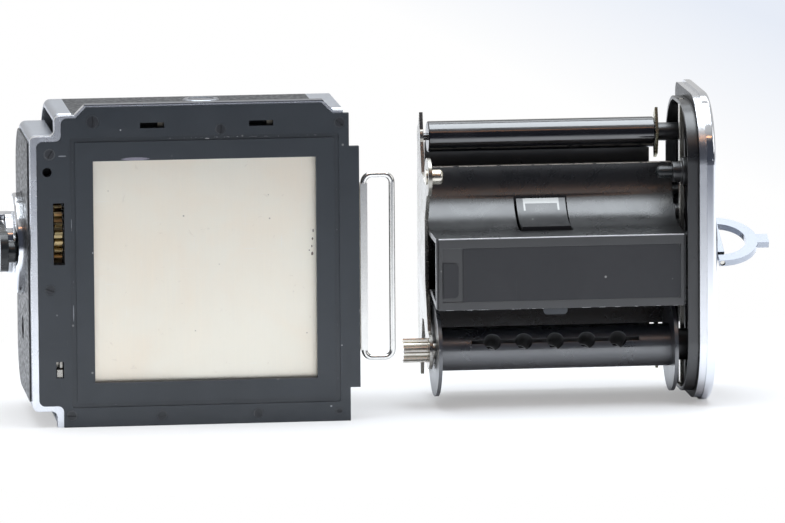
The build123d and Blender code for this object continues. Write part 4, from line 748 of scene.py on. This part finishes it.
def head_ring(name, x, z, radius):
    """A thin worn ring at a screw head's edge, about the Y axis."""
    bm = bmesh.new()
    corners = [(radius - RING_WIDTH, RING_FRONT), (radius, RING_FRONT), (radius, RING_BACK),
               (radius - RING_WIDTH, RING_BACK)]
    face = bm.faces.new([bm.verts.new((reach * MM, deep * MM, 0.0)) for reach, deep in corners])
    bmesh.ops.spin(bm, geom=[face], cent=(0.0, 0.0, 0.0), axis=ALONG_Y, dvec=(0.0, 0.0, 0.0), angle=2 * pi,
                   steps=RING_STEPS, use_merge=True, use_duplicate=False)
    bmesh.ops.remove_doubles(bm, verts=bm.verts, dist=WELD)
    inner = [face for face in bm.faces if all(len(edge.link_faces) > 2 for edge in face.edges)]
    bmesh.ops.delete(bm, geom=inner, context="FACES")
    bmesh.ops.recalc_face_normals(bm, faces=bm.faces)
    bmesh.ops.translate(bm, verts=bm.verts, vec=(Vector((x, 0.0, z)) + SHIFT) * MM)
    piece(name, bm, "worn_ring", "housing")


for count, (x, z, radius) in enumerate(HEADS):
    head_ring("head_ring_%d" % count, x, z, radius - 0.05)


def panel_tongue():
    """The small grey tongue under the rear panel's lower edge, round at its two lower corners."""
    size, corner_radius = Vector((6.6, 0.5, 2.1)) * MM, 1.1 * MM
    share, back, down = 0.474, 0.0005, 0.0006  # place over the panel's width, and from its low corner, in m
    low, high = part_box("rear_panel")
    at = Vector((low.x + share * (high.x - low.x), low.y + back, low.z - down))
    bm = bmesh.new()
    bmesh.ops.create_cube(bm, size=1.0)
    bmesh.ops.scale(bm, verts=bm.verts, vec=size)
    ends = []
    for edge in bm.edges:
        first, second = (vert.co for vert in edge.verts)
        if first.z < 0 and second.z < 0 and abs(first.x - second.x) < WELD:
            ends.append(edge)
    bmesh.ops.bevel(bm, geom=ends, offset=corner_radius, segments=5, profile=0.5, affect="EDGES", material=-1)
    bmesh.ops.translate(bm, verts=bm.verts, vec=at)
    piece("panel_tongue", bm, "tongue_grey", "insert")


panel_tongue()


# ---------------------------------------------------------------- stage, light and camera

def floor_material():
    """A pale floor that keeps the object's soft shadow and reads as white to the camera."""
    dark_ahead = (-0.20, -0.50)  # y where mirrored floor goes dark, in m
    under_edge = (0.045, 0.085)  # depth from the middle where the floor under the object gets brighter
    shadow_edge = (0.09, 0.24)  # distance where the lit floor has given way to plain white
    shadow_middle, shadow_stretch, least_glow = (-0.03, 0.0, 0.0), (1.0, 1.6, 0.0), 0.34
    cool_along, cool_edge = (1.0, 0.12, 0.0), (0.215, 0.345)  # the picture's right side turns a little blue
    material = bpy.data.materials.new("pale_floor")
    material.use_nodes = True
    tree = material.node_tree
    shader = tree.nodes["Principled BSDF"]
    shader.inputs["Roughness"].default_value = 0.9
    shader.inputs["Specular IOR Level"].default_value = 0.2
    glow = add(tree, "ShaderNodeEmission", {"Strength": 1.0})
    path, straight = straight_rays(tree)
    position = add(tree, "ShaderNodeNewGeometry").outputs["Position"]
    depth = split_vector(tree, position)["Y"]
    ahead = spread(tree, depth, *dark_ahead)
    away = spread(tree, maths(tree, "ABSOLUTE", depth), *under_edge)
    under = blend_colour(tree, away, (0.94, 0.95, 0.98), (0.98, 0.98, 1.0))
    mirrored = blend_colour(tree, ahead, under, (0.13, 0.14, 0.17))
    base = blend_colour(tree, path["Is Camera Ray"], mirrored, (0.84, 0.84, 0.85))
    join(tree, base, shader.inputs["Base Color"])
    cool = spread(tree, vector_maths(tree, "DOT_PRODUCT", position, cool_along), *cool_edge)
    join(tree, blend_colour(tree, cool, WHITE, (0.80, 0.845, 0.93)), glow.inputs["Color"])
    flat = vector_maths(tree, "MULTIPLY_ADD", position, shadow_stretch, shadow_middle)
    glow_share = spread(tree, vector_maths(tree, "LENGTH", flat), *shadow_edge, least_glow, 1.0)
    seen = maths(tree, "MULTIPLY", straight, glow_share)
    mixed = mix_shaders(tree, seen, shader.outputs[0], glow.outputs[0])
    join(tree, mixed, tree.nodes["Material Output"].inputs["Surface"])
    return material


def floor():
    """A wide flat floor that is only part of the stage."""
    left, right, ahead, behind = -6.0, 6.0, -3.0, 9.0
    corners = [(left, ahead, 0), (right, ahead, 0), (right, behind, 0), (left, behind, 0)]
    bm = bmesh.new()
    bm.faces.new([bm.verts.new(corner) for corner in corners])
    mesh = bpy.data.meshes.new("floor")
    bm.to_mesh(mesh)
    bm.free()
    made = bpy.data.objects.new("floor", mesh)
    scene.collection.objects.link(made)
    set_material(made, floor_material())


def studio_world():
    """A pale studio, dark low in front where the object mirrors it, and white to the camera."""
    strength, front_edge, top_edge = 0.62, (-0.08, -0.45), (0.55, 0.80)
    scene.world = bpy.data.worlds.new("studio")
    scene.world.use_nodes = True
    sky = scene.world.node_tree
    ground = sky.nodes["Background"]
    ground.inputs["Strength"].default_value = strength
    way = split_vector(sky, add(sky, "ShaderNodeTexCoord").outputs["Generated"])
    front = spread(sky, way["Y"], *front_edge)
    low = spread(sky, way["Z"], *top_edge, 1.0, 0.0)
    shade = maths(sky, "MULTIPLY", front, low)
    join(sky, blend_colour(sky, shade, WHITE, (0.09, 0.10, 0.13)), ground.inputs["Color"])
    plain = add(sky, "ShaderNodeBackground", {"Color": WHITE, "Strength": 1.0})
    straight = straight_rays(sky)[1]
    shown = mix_shaders(sky, straight, ground.outputs[0], plain.outputs[0])
    join(sky, shown, sky.nodes["World Output"].inputs["Surface"])


def softbox(name, at, aim, size, power, colour=WHITE):
    """A large soft lamp aimed at a point."""
    lamp = bpy.data.lights.new(name, "AREA")
    lamp.shape = "RECTANGLE"
    lamp.size, lamp.size_y = size
    lamp.energy = power
    lamp.color = colour
    made = bpy.data.objects.new(name, lamp)
    scene.collection.objects.link(made)
    made.location = at
    made.rotation_euler = (Vector(aim) - Vector(at)).to_track_quat("-Z", "Y").to_euler()


def aim_camera(focal, pitch, roll, yaw, at):
    """The camera: focal length in pixels, angles in degrees, place in mm in the modelling frame."""
    picture_width, sensor_width = 785, 36
    pitch, roll, yaw = radians(pitch), radians(roll), radians(yaw)
    tilt = Matrix(((1, 0, 0), (0, cos(pitch), -sin(pitch)), (0, sin(pitch), cos(pitch))))
    lean = Matrix(((cos(roll), 0, -sin(roll)), (0, 1, 0), (sin(roll), 0, cos(roll))))
    turn = Matrix(((cos(yaw), -sin(yaw), 0), (sin(yaw), cos(yaw), 0), (0, 0, 1)))
    right, forward, up = lean @ tilt @ turn
    place = (turn.transposed() @ Vector(at) + SHIFT) * MM
    camera = bpy.data.cameras.new("camera")
    camera.sensor_fit = "HORIZONTAL"
    camera.sensor_width = sensor_width
    camera.lens = focal / picture_width * sensor_width
    camera.clip_start = 0.01
    made = bpy.data.objects.new("camera", camera)
    scene.collection.objects.link(made)
    axes = Matrix((right, up, -Vector(forward))).transposed().to_4x4()
    made.matrix_world = Matrix.Translation(place) @ axes
    scene.camera = made


floor()
studio_world()
softbox("back_top", (0.0, 0.42, 0.60), (0.0, 0.0, 0.04), (1.1, 0.20), 1.35, (0.88, 0.94, 1.0))
softbox("overhead", (0.0, -0.03, 0.85), (0.0, -0.03, 0.03), (0.9, 0.66), 9.8, (0.87, 0.935, 1.0))
softbox("warm_edge", (0.0, -0.75, 0.72), (0.0, 0.0, 0.05), (0.8, 0.03), 0.30, (1.0, 0.42, 0.16))
softbox("right_fill", (0.9, -0.35, 0.45), (0.05, 0.0, 0.04), (0.5, 0.5), 1.2)
aim_camera(focal=9000, pitch=8.3, roll=0.38, yaw=6.65, at=(50.1, -2387.1, 392.1))
scene.view_settings.view_transform = "Standard"
